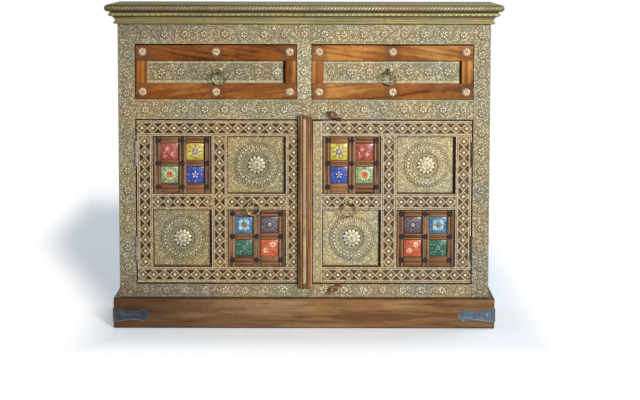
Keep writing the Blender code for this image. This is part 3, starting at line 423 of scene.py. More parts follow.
def sheet_finish(name, tones, scale=175.0, metal=0.4, polish=0.42):
    """Embossed sheet: its tones are hollow, dent, ground, fleck and bright crest, under a slow patina."""
    hollow, dent, ground, fleck, bright = (swatch(*tone) for tone in tones)
    finish, tree, place, age = aged_finish(name, {"Specular IOR Level": 0.25})
    beaten = grouped(tree, BEATEN_GROUND, Vector=place, Scale=scale)["Raised"]
    crest = attribute(tree, "crest")
    colour = mix(tree, ease(tree, beaten, 0.0, 0.5), dent, ground)
    colour = mix(tree, ease(tree, beaten, 0.45, 1.0), colour, fleck)
    # Below 0 the crest marks the dark plates under flowers and strokes: dark patina with painted shade.
    colour = mix(tree, ease(tree, crest, 0.0, -1.0), colour, hollow)
    worn = times(tree, ease(tree, crest, 0.1, 1.0), remap(tree, age["Rubbed"], 0.55, 1.0))
    colour = mix(tree, worn, colour, bright)
    colour = weathered(tree, colour, age, (0.90, 0.96, 0.98, 1.0), (1.06, 1.0, 0.90, 1.0), **SHEET_AGE)
    colour = mix(tree, times(tree, age["Grime"], 0.25), colour, hollow)
    rough = remap(tree, age["Grime"], polish, polish + 0.2)
    shine = remap(tree, beaten, metal * 0.4, metal)
    sockets = {"Base Color": colour, "Roughness": rough, "Metallic": shine}
    return complete(finish, sockets, beaten, 0.6, 0.0006)


CASE_TONES = ((124, 111, 80), (124, 111, 80), (166, 152, 121), (202, 190, 160), (246, 238, 214))
# The left doors' medallions are darker and the right ones paler: partly their metal, partly painted shade and
# light for light that falls off to the left.
SHADED_MEDALLION_TONES = ((70, 57, 32), (138, 123, 86), (172, 156, 116), (200, 185, 146), (238, 229, 202))
LIT_MEDALLION_TONES = ((80, 66, 38), (158, 143, 106), (188, 173, 136), (212, 198, 162), (242, 234, 208))
# The mullion's sheet is paler than the rest: painted light for the light it catches, on a plainer sheet.
LIT_MULLION_TONES = ((140, 127, 94), (140, 127, 94), (188, 174, 142), (218, 206, 176), (250, 243, 222))
# The left drawer's panel is darker than the right one: partly its metal, partly painted shade.
SHADED_PANEL_TONES = ((112, 101, 74), (112, 101, 74), (150, 138, 110), (186, 175, 147), (238, 230, 208))
FOLD_TONES = ((146, 134, 102), (146, 134, 102), (164, 152, 120), (176, 164, 132), (222, 212, 182))
SHEET = sheet_finish("embossed_sheet", CASE_TONES)
MEDALLION_SHEET = {
    "left": sheet_finish("medallion_sheet_dark", SHADED_MEDALLION_TONES, 200.0, polish=0.40),
    "right": sheet_finish("medallion_sheet_pale", LIT_MEDALLION_TONES, 200.0, polish=0.40),
}
MULLION_SHEET = sheet_finish("mullion_sheet_painted_light", LIT_MULLION_TONES)
PANEL_SHEET = {"left": sheet_finish("left_panel_sheet_painted_shade", SHADED_PANEL_TONES), "right": SHEET}
FOLDED_SHEET = sheet_finish("folded_sheet", FOLD_TONES, 60.0, 0.3)
print("sheet finishes:", SHEET.name, [finish.name for finish in MEDALLION_SHEET.values()], FOLDED_SHEET.name)

# %% Cornice finishes
TOP_LOW, TOP_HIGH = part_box("top_board")
CORNICE_LOW, CORNICE_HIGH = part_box("cornice_front")
FILLET_RISE = 0.0034
HIGH_BEAD = 0.0093
LOW_BEAD = 0.0085
BEAD_FOOT = CORNICE_HIGH.z - FILLET_RISE - HIGH_BEAD
LOW_BEAD_TOP = CORNICE_LOW.z + LOW_BEAD
# Each groove: foot, head, and how dark it is painted, with grime and painted shade; the first is under the
# nose.
GROOVES = (
    (CORNICE_HIGH.z - FILLET_RISE, CORNICE_HIGH.z + 0.0030, 0.95),
    (BEAD_FOOT - 0.0014, BEAD_FOOT + 0.0004, 0.5),
    (LOW_BEAD_TOP - 0.0006, LOW_BEAD_TOP + 0.0010, 0.5),
)
NOSE_END = (TOP_HIGH.z - 0.0010, TOP_HIGH.z - 0.0003)
TOP_FOLD = (TOP_HIGH.z - 0.0042, TOP_HIGH.z - 0.0002, 0.0010)
SOOT_AND_SHADE = swatch(66, 56, 30)


def moulding_finish():
    """Drawn brass moulding: streaks along it, grime and painted shade in its grooves."""
    constants = {"Specular IOR Level": 0.25, "Metallic": 0.25}
    finish, tree, place, age = aged_finish("cornice_sheet", constants)
    height = coordinates(tree, place)["Z"]
    streaks = noise(tree, stretched(tree, place, (7.0, 7.0, 330.0)), 1.0, 3.0)
    colour = mix(tree, ease(tree, streaks, 0.32, 0.66), swatch(138, 124, 82), swatch(177, 164, 122))
    # The grooves are darkened: grime, and painted shade under the nose and the beads.
    for low, high, share in GROOVES:
        colour = mix(tree, times(tree, band(tree, height, low, high), share), colour, SOOT_AND_SHADE)
    colour = mix(tree, ease(tree, attribute(tree, "crest"), 0.1, 1.0), colour, swatch(226, 216, 178))
    colour = weathered(tree, colour, age, (0.92, 0.97, 0.98, 1.0), (1.05, 1.0, 0.90, 1.0),
                       Tarnish=(0.80, 0.77, 0.70, 1.0))
    colour = mix(tree, times(tree, age["Grime"], 0.3), colour, swatch(96, 84, 48))
    rough = remap(tree, age["Grime"], 0.40, 0.62)
    return complete(finish, {"Base Color": colour, "Roughness": rough}, streaks, 0.3, 0.0004)


def top_finish():
    """The top board: streaked dull sheet on the flat, a dark line at its fold, a beaten round nose."""
    finish, tree, place, age = aged_finish("top_sheet", {"Specular IOR Level": 0.15})
    beaten = grouped(tree, BEATEN_GROUND, Vector=place, Scale=230.0)["Raised"]
    height = coordinates(tree, place)["Z"]
    streaks = noise(tree, stretched(tree, place, (3.0, 26.0, 26.0)), 1.0, 4.0)
    flat = mix(tree, ease(tree, streaks, 0.34, 0.66), swatch(122, 108, 78), swatch(152, 139, 114))
    nose = mix(tree, beaten, swatch(112, 99, 66), swatch(156, 143, 106))
    colour = mix(tree, ease(tree, height, *NOSE_END), nose, flat)
    fold = times(tree, band(tree, height, *TOP_FOLD), remap(tree, age["Tarnish"], 0.55, 0.95))
    colour = mix(tree, fold, colour, SOOT_AND_SHADE)
    crest = ease(tree, attribute(tree, "crest"), 0.1, 1.0)
    worn = times(tree, crest, remap(tree, age["Rubbed"], 0.35, 1.0))
    worn = times(tree, worn, remap(tree, age["Tarnish"], 1.0, 0.45))
    colour = mix(tree, worn, colour, swatch(228, 217, 182))
    colour = weathered(tree, colour, age, (0.95, 0.98, 1.0, 1.0), (1.03, 1.0, 0.92, 1.0),
                       Tarnish=(0.80, 0.77, 0.72, 1.0))
    rough = remap(tree, age["Grime"], 0.55, 0.75)
    return complete(finish, {"Base Color": colour, "Roughness": rough}, streaks, 0.2, 0.0004)


CORNICE_SHEET = moulding_finish()
TOP_SHEET = top_finish()
print("cornice finishes:", CORNICE_SHEET.name, TOP_SHEET.name)

# %% Wood finishes
AXIS_ORDER = {"X": "XYZ", "Y": "YXZ", "Z": "ZXY"}
# Darkens the left of an oiled board: partly tarnished, partly painted shade.
OILED_TARNISH_AND_SHADE = (0.90, 0.86, 0.86, 1.0)


def grain_place(tree, along):
    """Coordinates with the first axis along the grain: the grain attribute, or Object axes in order."""
    if along is None:
        return attribute(tree, "grain", "Vector")
    parts = coordinates(tree, object_place(tree))
    in_order = {index: parts[axis] for index, axis in enumerate(AXIS_ORDER[along])}
    return stretched(tree, put(tree, "ShaderNodeCombineXYZ", in_order).outputs[0], (1.0, 1.5, 1.5))


def wood_finish(name, tones, along=None, rough=0.42, tarnish_and_shade=OILED_TARNISH_AND_SHADE, shade_bands=()):
    """Oiled board in three tones: streaks along the grain, stains, rubbed and grimy spots, bands of painted
    shade.
    """
    dark, middle, light = (swatch(*tone) for tone in tones)
    finish, tree, place, age = aged_finish(name, {"Specular IOR Level": 0.12})
    run = grain_place(tree, along)
    wood = grouped(tree, BOARD_GRAIN, Vector=run, Dark=dark, Middle=middle, Light=light)
    colour = mix(tree, times(tree, age["Grime"], 0.3), wood["Color"], dark)
    colour = mix(tree, times(tree, attribute(tree, "stain"), 0.48), colour, swatch(92, 66, 46))
    colour = mix(tree, times(tree, attribute(tree, "crest"), 0.7), colour, light)
    colour = weathered(tree, colour, age, (0.94, 0.97, 1.02, 1.0), (1.06, 0.99, 0.92, 1.0),
                       Tarnish=tarnish_and_shade)
    # Dark bands at the heights given: painted shade.
    for low, high in shade_bands:
        edge = band(tree, coordinates(tree, place)["Z"], low, high, 0.0022)
        colour = mix(tree, times(tree, edge, 0.75), colour, swatch(48, 32, 20))
    gloss = remap(tree, age["Grime"], rough, rough + 0.2)
    return complete(finish, {"Base Color": colour, "Roughness": gloss}, wood["Figure"], 0.35, 0.0006)


DRAWER_WOOD = {
    "left": wood_finish("drawer_wood_red", ((76, 33, 11), (136, 80, 30), (176, 116, 52))),
    "right": wood_finish("drawer_wood_gold", ((90, 46, 18), (146, 90, 40), (190, 134, 72))),
}
PLINTH_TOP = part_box("plinth_front")[1].z
PLINTH_LOOK = {
    "tones": ((108, 76, 49), (142, 106, 71), (167, 132, 92)),
    # The plinth's left is much darker: partly tarnished, partly painted shade.
    "tarnish_and_shade": (0.38, 0.33, 0.32, 1.0),
    # Painted shade: a dark band under the case at the plinth's top, and one at its foot on the floor.
    "shade_bands": ((PLINTH_TOP - 0.0055, PLINTH_TOP + 0.003), (-0.003, 0.0045)),
}
CASE_WOOD_TONES = ((78, 52, 34), (122, 88, 58), (150, 114, 78))
PLINTH_WOOD = {axis: wood_finish("plinth_wood_" + axis, along=axis, **PLINTH_LOOK) for axis in "XY"}
CASE_WOOD = {axis: wood_finish("case_wood_" + axis, CASE_WOOD_TONES, axis, 0.55) for axis in "XZ"}
# Dark wood for the laths of painted shadow round panels and lattices; the copy below is darker still.
SHADE_LATH_WOOD = wood_finish("shade_lath_wood", ((62, 46, 28), (90, 70, 45), (122, 100, 68)))
SHADED_WOOD = wood_finish("rebate_wood_shaded", ((30, 20, 12), (44, 30, 19), (62, 45, 29)))
LATTICE_WOOD = wood_finish("lattice_wood", ((54, 34, 22), (92, 64, 44), (158, 124, 92)))
CROSS_WOOD = wood_finish("lattice_cross_wood", ((72, 43, 25), (116, 77, 48), (158, 114, 78)))
woods = (*DRAWER_WOOD.values(), *PLINTH_WOOD.values(), LATTICE_WOOD)
print("wood finishes:", [finish.name for finish in woods])

# %% Fret, iron, brass and nail finishes
PALE_STILE = (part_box("closing_strip")[1].x - 0.001, 0.0503)
# Across the doors the brown in the cuts gets lighter to the right: partly the wood, partly painted shade for
# light that falls off to the left.
CUT_TONE_SPAN = (-0.44, 0.44)
FRET_CUT = (FRONT + 0.0004, FRONT + 0.0016)


def fret_finish(name, age_tint):
    """A door's face: tan on top, brown in the cuts and lighter to the right, bright ribs, a pale stile."""
    finish, tree, place, age = aged_finish(name, {"Metallic": 0.1, "Specular IOR Level": 0.2})
    crest = attribute(tree, "crest")
    sideways, depth, _ = coordinates(tree, place)
    mottle = ease(tree, noise(tree, place, 210.0, 3.0), 0.35, 0.68)
    grain = ease(tree, noise(tree, place, 420.0, 1.0), 0.38, 0.60)
    tan = mix(tree, mottle, swatch(104, 85, 58), swatch(156, 134, 100))
    pale = mix(tree, mottle, swatch(148, 132, 96), swatch(192, 178, 142))
    hollow = mix(tree, ease(tree, sideways, *CUT_TONE_SPAN), swatch(57, 41, 24), swatch(88, 70, 47))
    line = mix(tree, grain, swatch(180, 160, 126), swatch(240, 228, 200))
    colour = mix(tree, band(tree, sideways, *PALE_STILE), tan, pale)
    colour = mix(tree, ease(tree, depth, *FRET_CUT), colour, hollow)
    colour = mix(tree, ease(tree, crest, 0.0, -1.0), colour, hollow)
    colour = mix(tree, ease(tree, crest, 0.1, 1.0), colour, line)
    # Painted highlight: a crest above 1, which only the diamond pins have, turns almost white.
    colour = mix(tree, ease(tree, crest, 1.1, 1.6), colour, swatch(255, 248, 228))
    colour = weathered(tree, colour, age, (0.93, 0.96, 1.0, 1.0), (1.05, 0.99, 0.90, 1.0))
    colour = mix(tree, 1.0, colour, age_tint, "MULTIPLY")
    colour = mix(tree, times(tree, age["Grime"], 0.25), colour, swatch(84, 62, 40))
    rough = remap(tree, age["Grime"], 0.42, 0.66)
    return complete(finish, {"Base Color": colour, "Roughness": rough}, mottle, 0.4, 0.0005)


def metal_finish(name, dark, bright, metal, rough, scale):
    """Cast or wrought metal: fine mottling, dark with grime and in the collars."""
    dark, bright = swatch(*dark), swatch(*bright)
    finish, tree, place, age = aged_finish(name, {"Metallic": metal})
    grime = age["Grime"]
    mottle = noise(tree, place, scale, 4.0)
    colour = mix(tree, ease(tree, mottle, 0.34, 0.68), dark, bright)
    colour = mix(tree, times(tree, grime, 0.4), colour, dark)
    colour = mix(tree, ease(tree, attribute(tree, "crest"), 0.0, -1.0), colour, dark)
    dull = remap(tree, grime, rough, rough + 0.22)
    return complete(finish, {"Base Color": colour, "Roughness": dull}, mottle, 0.5, 0.0004)


# The left door's fret is tinted darker than the right one's: partly its wood, partly painted shade.
FRET = {
    "left": fret_finish("diamond_fret_painted_shade", (0.91, 0.87, 0.80, 1.0)),
    "right": fret_finish("diamond_fret_painted_light", (0.97, 0.97, 0.97, 1.0)),
}
# The left strap is darker than the right one: partly its iron, partly painted shade for light that falls off
# to the left.
IRON = {
    "left": metal_finish("strap_iron_painted_shade", (30, 38, 44), (48, 58, 66), 0.3, 0.5, 90.0),
    "right": metal_finish("strap_iron_painted_light", (70, 84, 96), (94, 111, 126), 0.3, 0.5, 90.0),
}
IRON_EDGE = {
    "left": metal_finish("strap_edge_painted_shade", (56, 66, 73), (84, 95, 103), 0.3, 0.45, 140.0),
    "right": metal_finish("strap_edge_painted_light", (86, 99, 111), (112, 127, 140), 0.3, 0.45, 140.0),
}
# The right door's hinges are nearly black: painted shadow.
HINGE_IRON = {
    "left": metal_finish("hinge_iron_worn", (104, 96, 97), (152, 143, 144), 0.5, 0.42, 220.0),
    "right": metal_finish("hinge_iron_painted_shadow", (44, 38, 30), (78, 68, 54), 0.5, 0.50, 220.0),
}
STUD_IRON = metal_finish("lattice_stud", (27, 22, 24), (70, 58, 62), 0.5, 0.26, 260.0)
BRASS = {
    "drawer": metal_finish("ring_brass_dark", (66, 55, 34), (168, 152, 112), 0.6, 0.34, 150.0),
    "door": metal_finish("ring_brass_pale", (108, 95, 62), (184, 170, 130), 0.6, 0.40, 240.0),
}
NAIL = metal_finish("nail_white_metal", (144, 114, 84), (220, 197, 161), 0.35, 0.36, 320.0)
metals = (*IRON.values(), *HINGE_IRON.values(), STUD_IRON, *BRASS.values(), NAIL)
print("metal finishes:", [finish.name for finish in metals])

# %% Give the CAD boards their finishes
def dress(finish, *names):
    for name in names:
        NODES[name].material_slots[0].material = finish


dress(SHEET, "stile_left", "stile_right", "bottom_rail", "mid_rail", "top_rail")
dress(SHEET, "side_panel_left", "side_panel_right")
dress(MULLION_SHEET, "drawer_mullion")
dress(CORNICE_SHEET, "cornice_front", "cornice_left", "cornice_right")
dress(TOP_SHEET, "top_board")
dress(PLINTH_WOOD["X"], "plinth_front")
dress(PLINTH_WOOD["Y"], "plinth_left", "plinth_right")
dress(CASE_WOOD["Z"], "back_panel")
dress(CASE_WOOD["X"], "bottom_board", "shelf", "drawer_deck", "left_drawer_box", "right_drawer_box")
for side in SIDES:
    dress(PANEL_SHEET[side], side + "_drawer_panel")
    dress(FRET[side], side + "_door_frame")
for name in NODES:
    words = name.split("_")
    if "hinge" in name:
        dress(HINGE_IRON[words[0]], name)
    if name.endswith("_medallion"):
        dress(MEDALLION_SHEET[words[0]], name)
    if name.endswith("_pull_stud"):
        dress(BRASS[words[1]], name)
print("dressed CAD boards")

# %% [markdown]
# ## Stamping relief
# A punch makes the same bump again and again, so each bump is a small mesh made once and stamped where it
# is wanted. A bump is a low drum with a narrow top: eight faces, shaded smooth, look like a soft dome. The
# stamped copies are gathered in one bmesh per piece. Planed boards are stamps too: a cube with a small
# bevel, that carries the direction of its grain.

# %% Relief helpers
FACE_FRONT = turned(90, "X")
FACE_LEFT = turned(-90, "Z") @ FACE_FRONT
FACE_RIGHT = turned(90, "Z") @ FACE_FRONT
OUTWARD = Vector((0.0, -1.0, 0.0))
HERE = Matrix.Identity(4)
STANDING = 0.35
FOOT_CREST = 0.1


def new_relief():
    shape = bmesh.new()
    shape.verts.layers.float.new("crest")
    return shape


def as_stamp(shape):
    mesh = bpy.data.meshes.new("stamp")
    shape.to_mesh(mesh)
    shape.free()
    return mesh


def punched(shape, length, width, height):
    """A unit shape brought to size, with a little of its height sunk in, as a stamp."""
    bmesh.ops.scale(shape, vec=(length, width, height), verts=shape.verts)
    bmesh.ops.translate(shape, vec=(0.0, 0.0, height * STANDING), verts=shape.verts)
    return as_stamp(shape)


def bump(length, width, height, point=0.0, sides=6, crown=0.5, crest=1.0):
    """One punched bump on its XY plane, long along X; point above 0 makes its +X end the wide one."""
    shape = new_relief()
    bmesh.ops.create_cone(shape, cap_ends=True, segments=sides, radius1=1.0, radius2=crown, depth=1.0)
    layer = shape.verts.layers.float["crest"]
    for vert in shape.verts:
        vert.co.y *= 1.0 + point * vert.co.x
        vert[layer] = crest if vert.co.z > 0 else min(crest, FOOT_CREST)
    return punched(shape, length / 2, width / 2, height)


def rib(width, height, top=0.5, crest=1.0):
    """A strip one metre long along X, with a narrower top; lay() stretches it between two points."""
    shape = new_relief()
    bmesh.ops.create_cube(shape, size=1.0)
    layer = shape.verts.layers.float["crest"]
    for vert in shape.verts:
        vert[layer] = crest if vert.co.z > 0 else FOOT_CREST
        if vert.co.z > 0:
            vert.co.y *= top
    return punched(shape, 1.0, width, height)


def stamp(shape, mesh, matrix=HERE):
    copy = mesh.copy()
    copy.transform(matrix)
    shape.from_mesh(copy)
    bpy.data.meshes.remove(copy)


def shifted(x=0.0, y=0.0, z=0.0):
    return Matrix.Translation((x, y, z))


def at(x, y, z, facing=FACE_FRONT, spin=0.0):
    return shifted(x, y, z) @ facing @ turned(spin, "Z")


def lay(first, second, outward=OUTWARD):
    """The matrix that lays a one-metre strip from one point to another with its top turned outward."""
    along = second - first
    across = outward.cross(along).normalized()
    turn = Matrix((along.normalized(), across, outward)).transposed().to_4x4()
    return Matrix.Translation((first + second) / 2) @ turn @ Matrix.Diagonal((along.length, 1.0, 1.0, 1.0))


def make_piece(name, shape, body, slot, *finishes, replaces=(), sharp=50.0):
    """Turn a bmesh into a finished object that rides on a body and takes the finishes given."""
    mesh = bpy.data.meshes.new(name)
    shape.to_mesh(mesh)
    shape.free()
    for finish in finishes:
        mesh.materials.append(finish)
    mesh.shade_smooth()
    mesh.set_sharp_from_angle(angle=math.radians(sharp))
    piece = new_object(name, mesh)
    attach(piece, body)
    if replaces:
        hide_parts(*replaces)
    print(name, "rides on", body, "with", len(mesh.polygons), "faces")
    return piece


def keep_within(shape, axis, low, high):
    """Take out every stamped mark that reaches past a board's edges along one axis."""
    waiting = set(shape.verts)
    outside = []
    while waiting:
        mark = [waiting.pop()]
        for vert in mark:
            beside = {edge.other_vert(vert) for edge in vert.link_edges} & waiting
            waiting -= beside
            mark.extend(beside)
        if any(not low <= vert.co[axis] <= high for vert in mark):
            outside.extend(mark)
    bmesh.ops.delete(shape, geom=outside, context="VERTS")


def spots(first, last, pitch):
    """Evenly spaced places between two ends, as near the pitch as a whole number allows."""
    count = max(1, round((last - first) / pitch))
    step = (last - first) / count
    return [first + step * (index + 0.5) for index in range(count)]


print("relief helpers ready")

# %% Board helpers
FINE_EDGE = 0.0004
FIGURE_STEP = 9
STAIN_CUTS = (-1.7, -1.0, 1.0, 1.7)
STAIN_REACH = 1.2


def new_boards():
    shape = bmesh.new()
    shape.verts.layers.float_vector.new("grain")
    shape.verts.layers.float.new("stain")
    shape.verts.layers.float.new("crest")
    return shape


def board(low, high, along, shift, soft=0.0014, stains=(), crest=0.0, slope=0.0):
    """A planed board as a stamp; along is the axis of its grain, shift moves its figure, slope tilts it."""
    shape = bmesh.new()
    low, high = Vector(low), Vector(high)
    matrix = Matrix.Translation((low + high) / 2) @ Matrix.Diagonal((*(high - low), 1.0))
    bmesh.ops.create_cube(shape, size=1.0, matrix=matrix)
    bmesh.ops.bevel(shape, geom=shape.edges[:], offset=soft, segments=2, profile=0.5, affect="EDGES",
                    material=-1)
    first, second, third = ("XYZ".index(letter) for letter in AXIS_ORDER[along])
    normal = [float(index == first) for index in range(3)]
    for spot, reach in stains:
        for cut in STAIN_CUTS:
            everything = shape.verts[:] + shape.edges[:] + shape.faces[:]
            place = Vector(normal) * (spot + cut * reach)
            bmesh.ops.bisect_plane(shape, geom=everything, plane_co=place, plane_no=normal)
    grain = shape.verts.layers.float_vector.new("grain")
    stain = shape.verts.layers.float.new("stain")
    shine = shape.verts.layers.float.new("crest")
    for vert in shape.verts:
        run = vert.co[first]
        vert[grain] = (run + shift, vert.co[second] + 0.31 * shift, vert.co[third] + slope * run)
        vert[stain] = float(any(abs(run - spot) < reach * STAIN_REACH for spot, reach in stains))
        vert[shine] = crest
    return as_stamp(shape)


def coated(mesh, index):
    """Give every face of a stamp one material place."""
    for face in mesh.polygons:
        face.material_index = index
    return mesh


def add_board(shape, low, high, along, shift, soft=0.0014, place=0, **look):
    """Stamp one board into a piece, in one of the piece's finishes."""
    stamp(shape, coated(board(low, high, along, shift, soft, **look), place))


def surround(shape, low, high, front, back, widths, soft, head_place):
    """Laths of painted shadow round a window: foot and head run through, uprights stand between; the right
    one is darkest.
    """
    left, right, foot, head = widths
    foot, head = low.z + foot, high.z - head
    for place, start, stop in ((0, low.z, foot), (head_place, head, high.z)):
        add_board(shape, (low.x, front, start), (high.x, back, stop), "X", start * FIGURE_STEP, soft, place)
    for place, start, stop in ((0, low.x, low.x + left), (1, high.x - right, high.x)):
        add_board(shape, (start, front, foot), (stop, back, head), "Z", start * FIGURE_STEP, soft, place)


print("board helpers ready")

# %% [markdown]
# ## The embossed flowers
# Every rail and stile of the case shows the same row of six-petalled flowers, each in a dark collar with
# two rings of punched strokes, and small leaves between; the collar is dark patina with painted shade round
# the petals. One flower is built from bumps and becomes a stamp itself. It was punched by hand, so each copy
# is moved, turned and scaled a little, from a seeded draw. The stiles have a flatter flower. Smooth strips
# edge the sheets, where the metal is folded over the board, and a dark line of painted shadow runs along the
# openings.

# %% Flower stamp
FLOWER_PITCH = 0.0545
RELIEF = 0.0011
CORNERS = (45.0, 135.0, 225.0, 315.0)
HAND = random.Random(11)
HAND_SHIFT = 0.0009
HAND_TURN = 15.0


def around(count, radius, start=0.0):
    """Matrices that set a stamp round a circle, its X axis pointing outward."""
    return [turned(start + 360.0 * index / count, "Z") @ shifted(radius) for index in range(count)]


def by_hand():
    """A small shift, turn and scale, for a mark that was punched by eye."""
    shift = shifted(HAND.uniform(-HAND_SHIFT, HAND_SHIFT), HAND.uniform(-HAND_SHIFT, HAND_SHIFT))
    turn = turned(HAND.uniform(-HAND_TURN, HAND_TURN), "Z")
    return shift @ turn @ Matrix.Scale(HAND.uniform(0.93, 1.06), 4)


BUD = bump(0.0040, 0.0040, RELIEF, crest=0.5)
LEAF = bump(0.0086, 0.0034, RELIEF * 0.8, 0.2, crest=0.65)
# A thin dark plate under each flower: dark patina and painted shade round the raised petals.
SHADED_COLLAR = bump(0.0262, 0.0262, 0.0003, 0.0, 12, 0.92, -0.8)


def flower_stamp(outer=22, leaves=True, petal_crest=0.95, stroke_crest=0.62):
    """Six petals in a dark collar of patina and painted shade, a ring of long strokes that lean like a whirl,
    and one of short ones.
    """
    petal = bump(0.0078, 0.0053, RELIEF, 0.28, crest=petal_crest)
    stroke = bump(0.0070, 0.0025, RELIEF * 0.9, 0.15, crest=stroke_crest)
    short_stroke = bump(0.0054, 0.0025, RELIEF * 0.8, 0.15, crest=stroke_crest * 0.85)
    rings = [(petal, around(6, 0.0066, 30.0), 0.0), (stroke, around(16, 0.0163, 11.0), 24.0),
             (short_stroke, around(outer, 0.0228), -18.0)]
    if leaves:
        rings.append((LEAF, around(4, 0.0302, CORNERS[0]), 30.0))
    shape = new_relief()
    stamp(shape, SHADED_COLLAR)
    stamp(shape, BUD)
    for mark, places, lean in rings:
        for matrix in places:
            stamp(shape, mark, matrix @ turned(lean, "Z"))
    return as_stamp(shape)


FLOWER = flower_stamp()
STILE_FLOWER = flower_stamp(petal_crest=0.7, stroke_crest=0.7)
SMALL_FLOWER = flower_stamp(0, False)
EDGE_RIB = rib(0.0026, 0.0008, crest=0.35)
FOLD_WIDTH = 0.0060
FOLD = rib(FOLD_WIDTH, 0.0008, 0.8, crest=0.25)
print("one flower has", len(FLOWER.polygons), "faces")

# %% Case front relief
STRIP_LOW, STRIP_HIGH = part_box("closing_strip")
STILE_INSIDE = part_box("stile_right")[0].x
CORNICE_FOOT = CORNICE_LOW.z
RAILS = {name: [corner.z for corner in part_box(name)] for name in ("top_rail", "mid_rail", "bottom_rail")}
RAILS["top_rail"][1] = CORNICE_FOOT
FLOWER_REACH = 0.0185
STRIP_GAP = 0.001
BESIDE_STRIP = ((-STILE_INSIDE, STRIP_LOW.x - STRIP_GAP), (STRIP_HIGH.x + STRIP_GAP, STILE_INSIDE))


def point(x, z, y=FRONT):
    return Vector((x, y, z))


def under_strip(x, z):
    """True where a flower would run under the closing strip's lapping ends."""
    beside = STRIP_LOW.x - FLOWER_REACH < x < STRIP_HIGH.x + FLOWER_REACH
    return beside and STRIP_LOW.z - FLOWER_REACH < z < STRIP_HIGH.z + FLOWER_REACH


for name, (low, high) in RAILS.items():
    relief = new_relief()
    middle = (low + high) / 2
    for x in spots(-STILE_INSIDE, STILE_INSIDE, FLOWER_PITCH):
        if not under_strip(x, middle):
            stamp(relief, FLOWER, at(x, FRONT, middle) @ by_hand())
    keep_within(relief, 2, low + FOLD_WIDTH, high - FOLD_WIDTH)
    make_piece(name + "_relief", relief, "case", "sheet_clad_board", SHEET)
    folds = new_relief()
    for z in (low + FOLD_WIDTH / 2, high - FOLD_WIDTH / 2):
        for start, stop in BESIDE_STRIP:
            stamp(folds, FOLD, lay(point(start, z), point(stop, z)))
    make_piece(name + "_folds", folds, "case", "sheet_clad_board", FOLDED_SHEET)

# %% Edges of the openings
EDGE_WIDTH = 0.0020
EDGE_RISE = 0.0012
DRAWER_SPANS = [[corner.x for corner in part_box(side + "_drawer_frame")] for side in SIDES]
# Dark lines of painted shadow under the rails and on the bottom rail, along the openings.
OPENING_EDGES = (
    (DRAWER_SPANS, RAILS["top_rail"][0]),
    (BESIDE_STRIP, RAILS["mid_rail"][0]),
    (BESIDE_STRIP, RAILS["bottom_rail"][1] - EDGE_WIDTH),
)
edge_shadows = new_boards()
for spans, foot in OPENING_EDGES:
    for start, stop in spans:
        line_end = (stop, FRONT, foot + EDGE_WIDTH)
        add_board(edge_shadows, (start, FRONT - EDGE_RISE, foot), line_end, "X", foot * 7, FINE_EDGE)
make_piece("opening_edge_shadows", edge_shadows, "case", "sheet_clad_board", SHADED_WOOD)

# %% Stile and mullion relief
SHEET_EDGE = 0.0005
# Each upright: its flower, their pitch, the free ends, how far in its edge ribs run, and its sheet.
UPRIGHTS = {
    "stile_left": (STILE_FLOWER, FLOWER_PITCH, 0.004, 0.0020, SHEET),
    "stile_right": (STILE_FLOWER, FLOWER_PITCH, 0.004, 0.0020, SHEET),
    "drawer_mullion": (SMALL_FLOWER, 0.0500, 0.0, 0.0016, MULLION_SHEET),
}
for name, (flower, pitch, free, rib_in, sheet) in UPRIGHTS.items():
    relief = new_relief()
    low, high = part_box(name)
    head = min(high.z, CORNICE_FOOT)
    for z in spots(low.z + free, head - free, pitch):
        stamp(relief, flower, at((low.x + high.x) / 2, FRONT, z, spin=90.0) @ by_hand())
    keep_within(relief, 0, low.x + SHEET_EDGE, high.x - SHEET_EDGE)
    for x in (low.x + rib_in, high.x - rib_in):
        stamp(relief, EDGE_RIB, lay(point(x, low.z), point(x, head)))
    make_piece(name + "_relief", relief, "case", "sheet_clad_board", sheet)

# %% [markdown]
# ## Clad sides
# The sheet goes on round the corners. The photo doesn't show the sides, so they get the same flowers in a
# plain grid, edged by the same folded line. Inside the case they are bare wood, so a thin board faces each
# one there.

# %% Side panel relief
SIDE_MARGIN = 0.006
SIDE_RIB_IN = 0.0020
BARE_SINK = 0.0004
BARE_RISE = 0.0008
for side, sign in SIDES.items():
    name = "side_panel_" + side
    facing = FACE_LEFT if side == "left" else FACE_RIGHT
    low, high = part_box(name)
    face, inner = (low.x, high.x) if side == "left" else (high.x, low.x)
    relief = new_relief()
    for z in spots(low.z + SIDE_MARGIN, CORNICE_FOOT - SIDE_MARGIN, FLOWER_PITCH):
        for y in spots(FRONT + SIDE_MARGIN, high.y - SIDE_MARGIN, FLOWER_PITCH):
            stamp(relief, FLOWER, at(face, y, z, facing) @ by_hand())
    keep_within(relief, 1, FRONT + SHEET_EDGE, high.y - SHEET_EDGE)
    for y in (FRONT + SIDE_RIB_IN, high.y - SIDE_RIB_IN):
        ends = (point(face, low.z, y), point(face, CORNICE_FOOT, y))
        stamp(relief, EDGE_RIB, lay(*ends, Vector((sign, 0.0, 0.0))))
    make_piece(name + "_relief", relief, "case", "sheet_clad_board", SHEET)
    across = sorted((inner + sign * BARE_SINK, inner - sign * BARE_RISE))
    bare_low = (across[0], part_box("stile_left")[1].y, low.z)
    bare_high = (across[1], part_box("back_panel")[0].y, high.z)
    bare = new_boards()
    add_board(bare, bare_low, bare_high, "Z", sign, FINE_EDGE)
    make_piece(name + "_inner_face", bare, "case", "case_wood", CASE_WOOD["Z"])

# %% [markdown]
# ## Cornice ornament
# The round nose of the top is chased like a rope, with slanted strokes, and the bead below it has a row of
# dashes. Both run along the front and round the two ends, so one function sets a mark along all three. A
# mark is bent to the round it sits on. The nose itself is drawn in by less than a millimetre, so that the
# rope stands in the old outline.

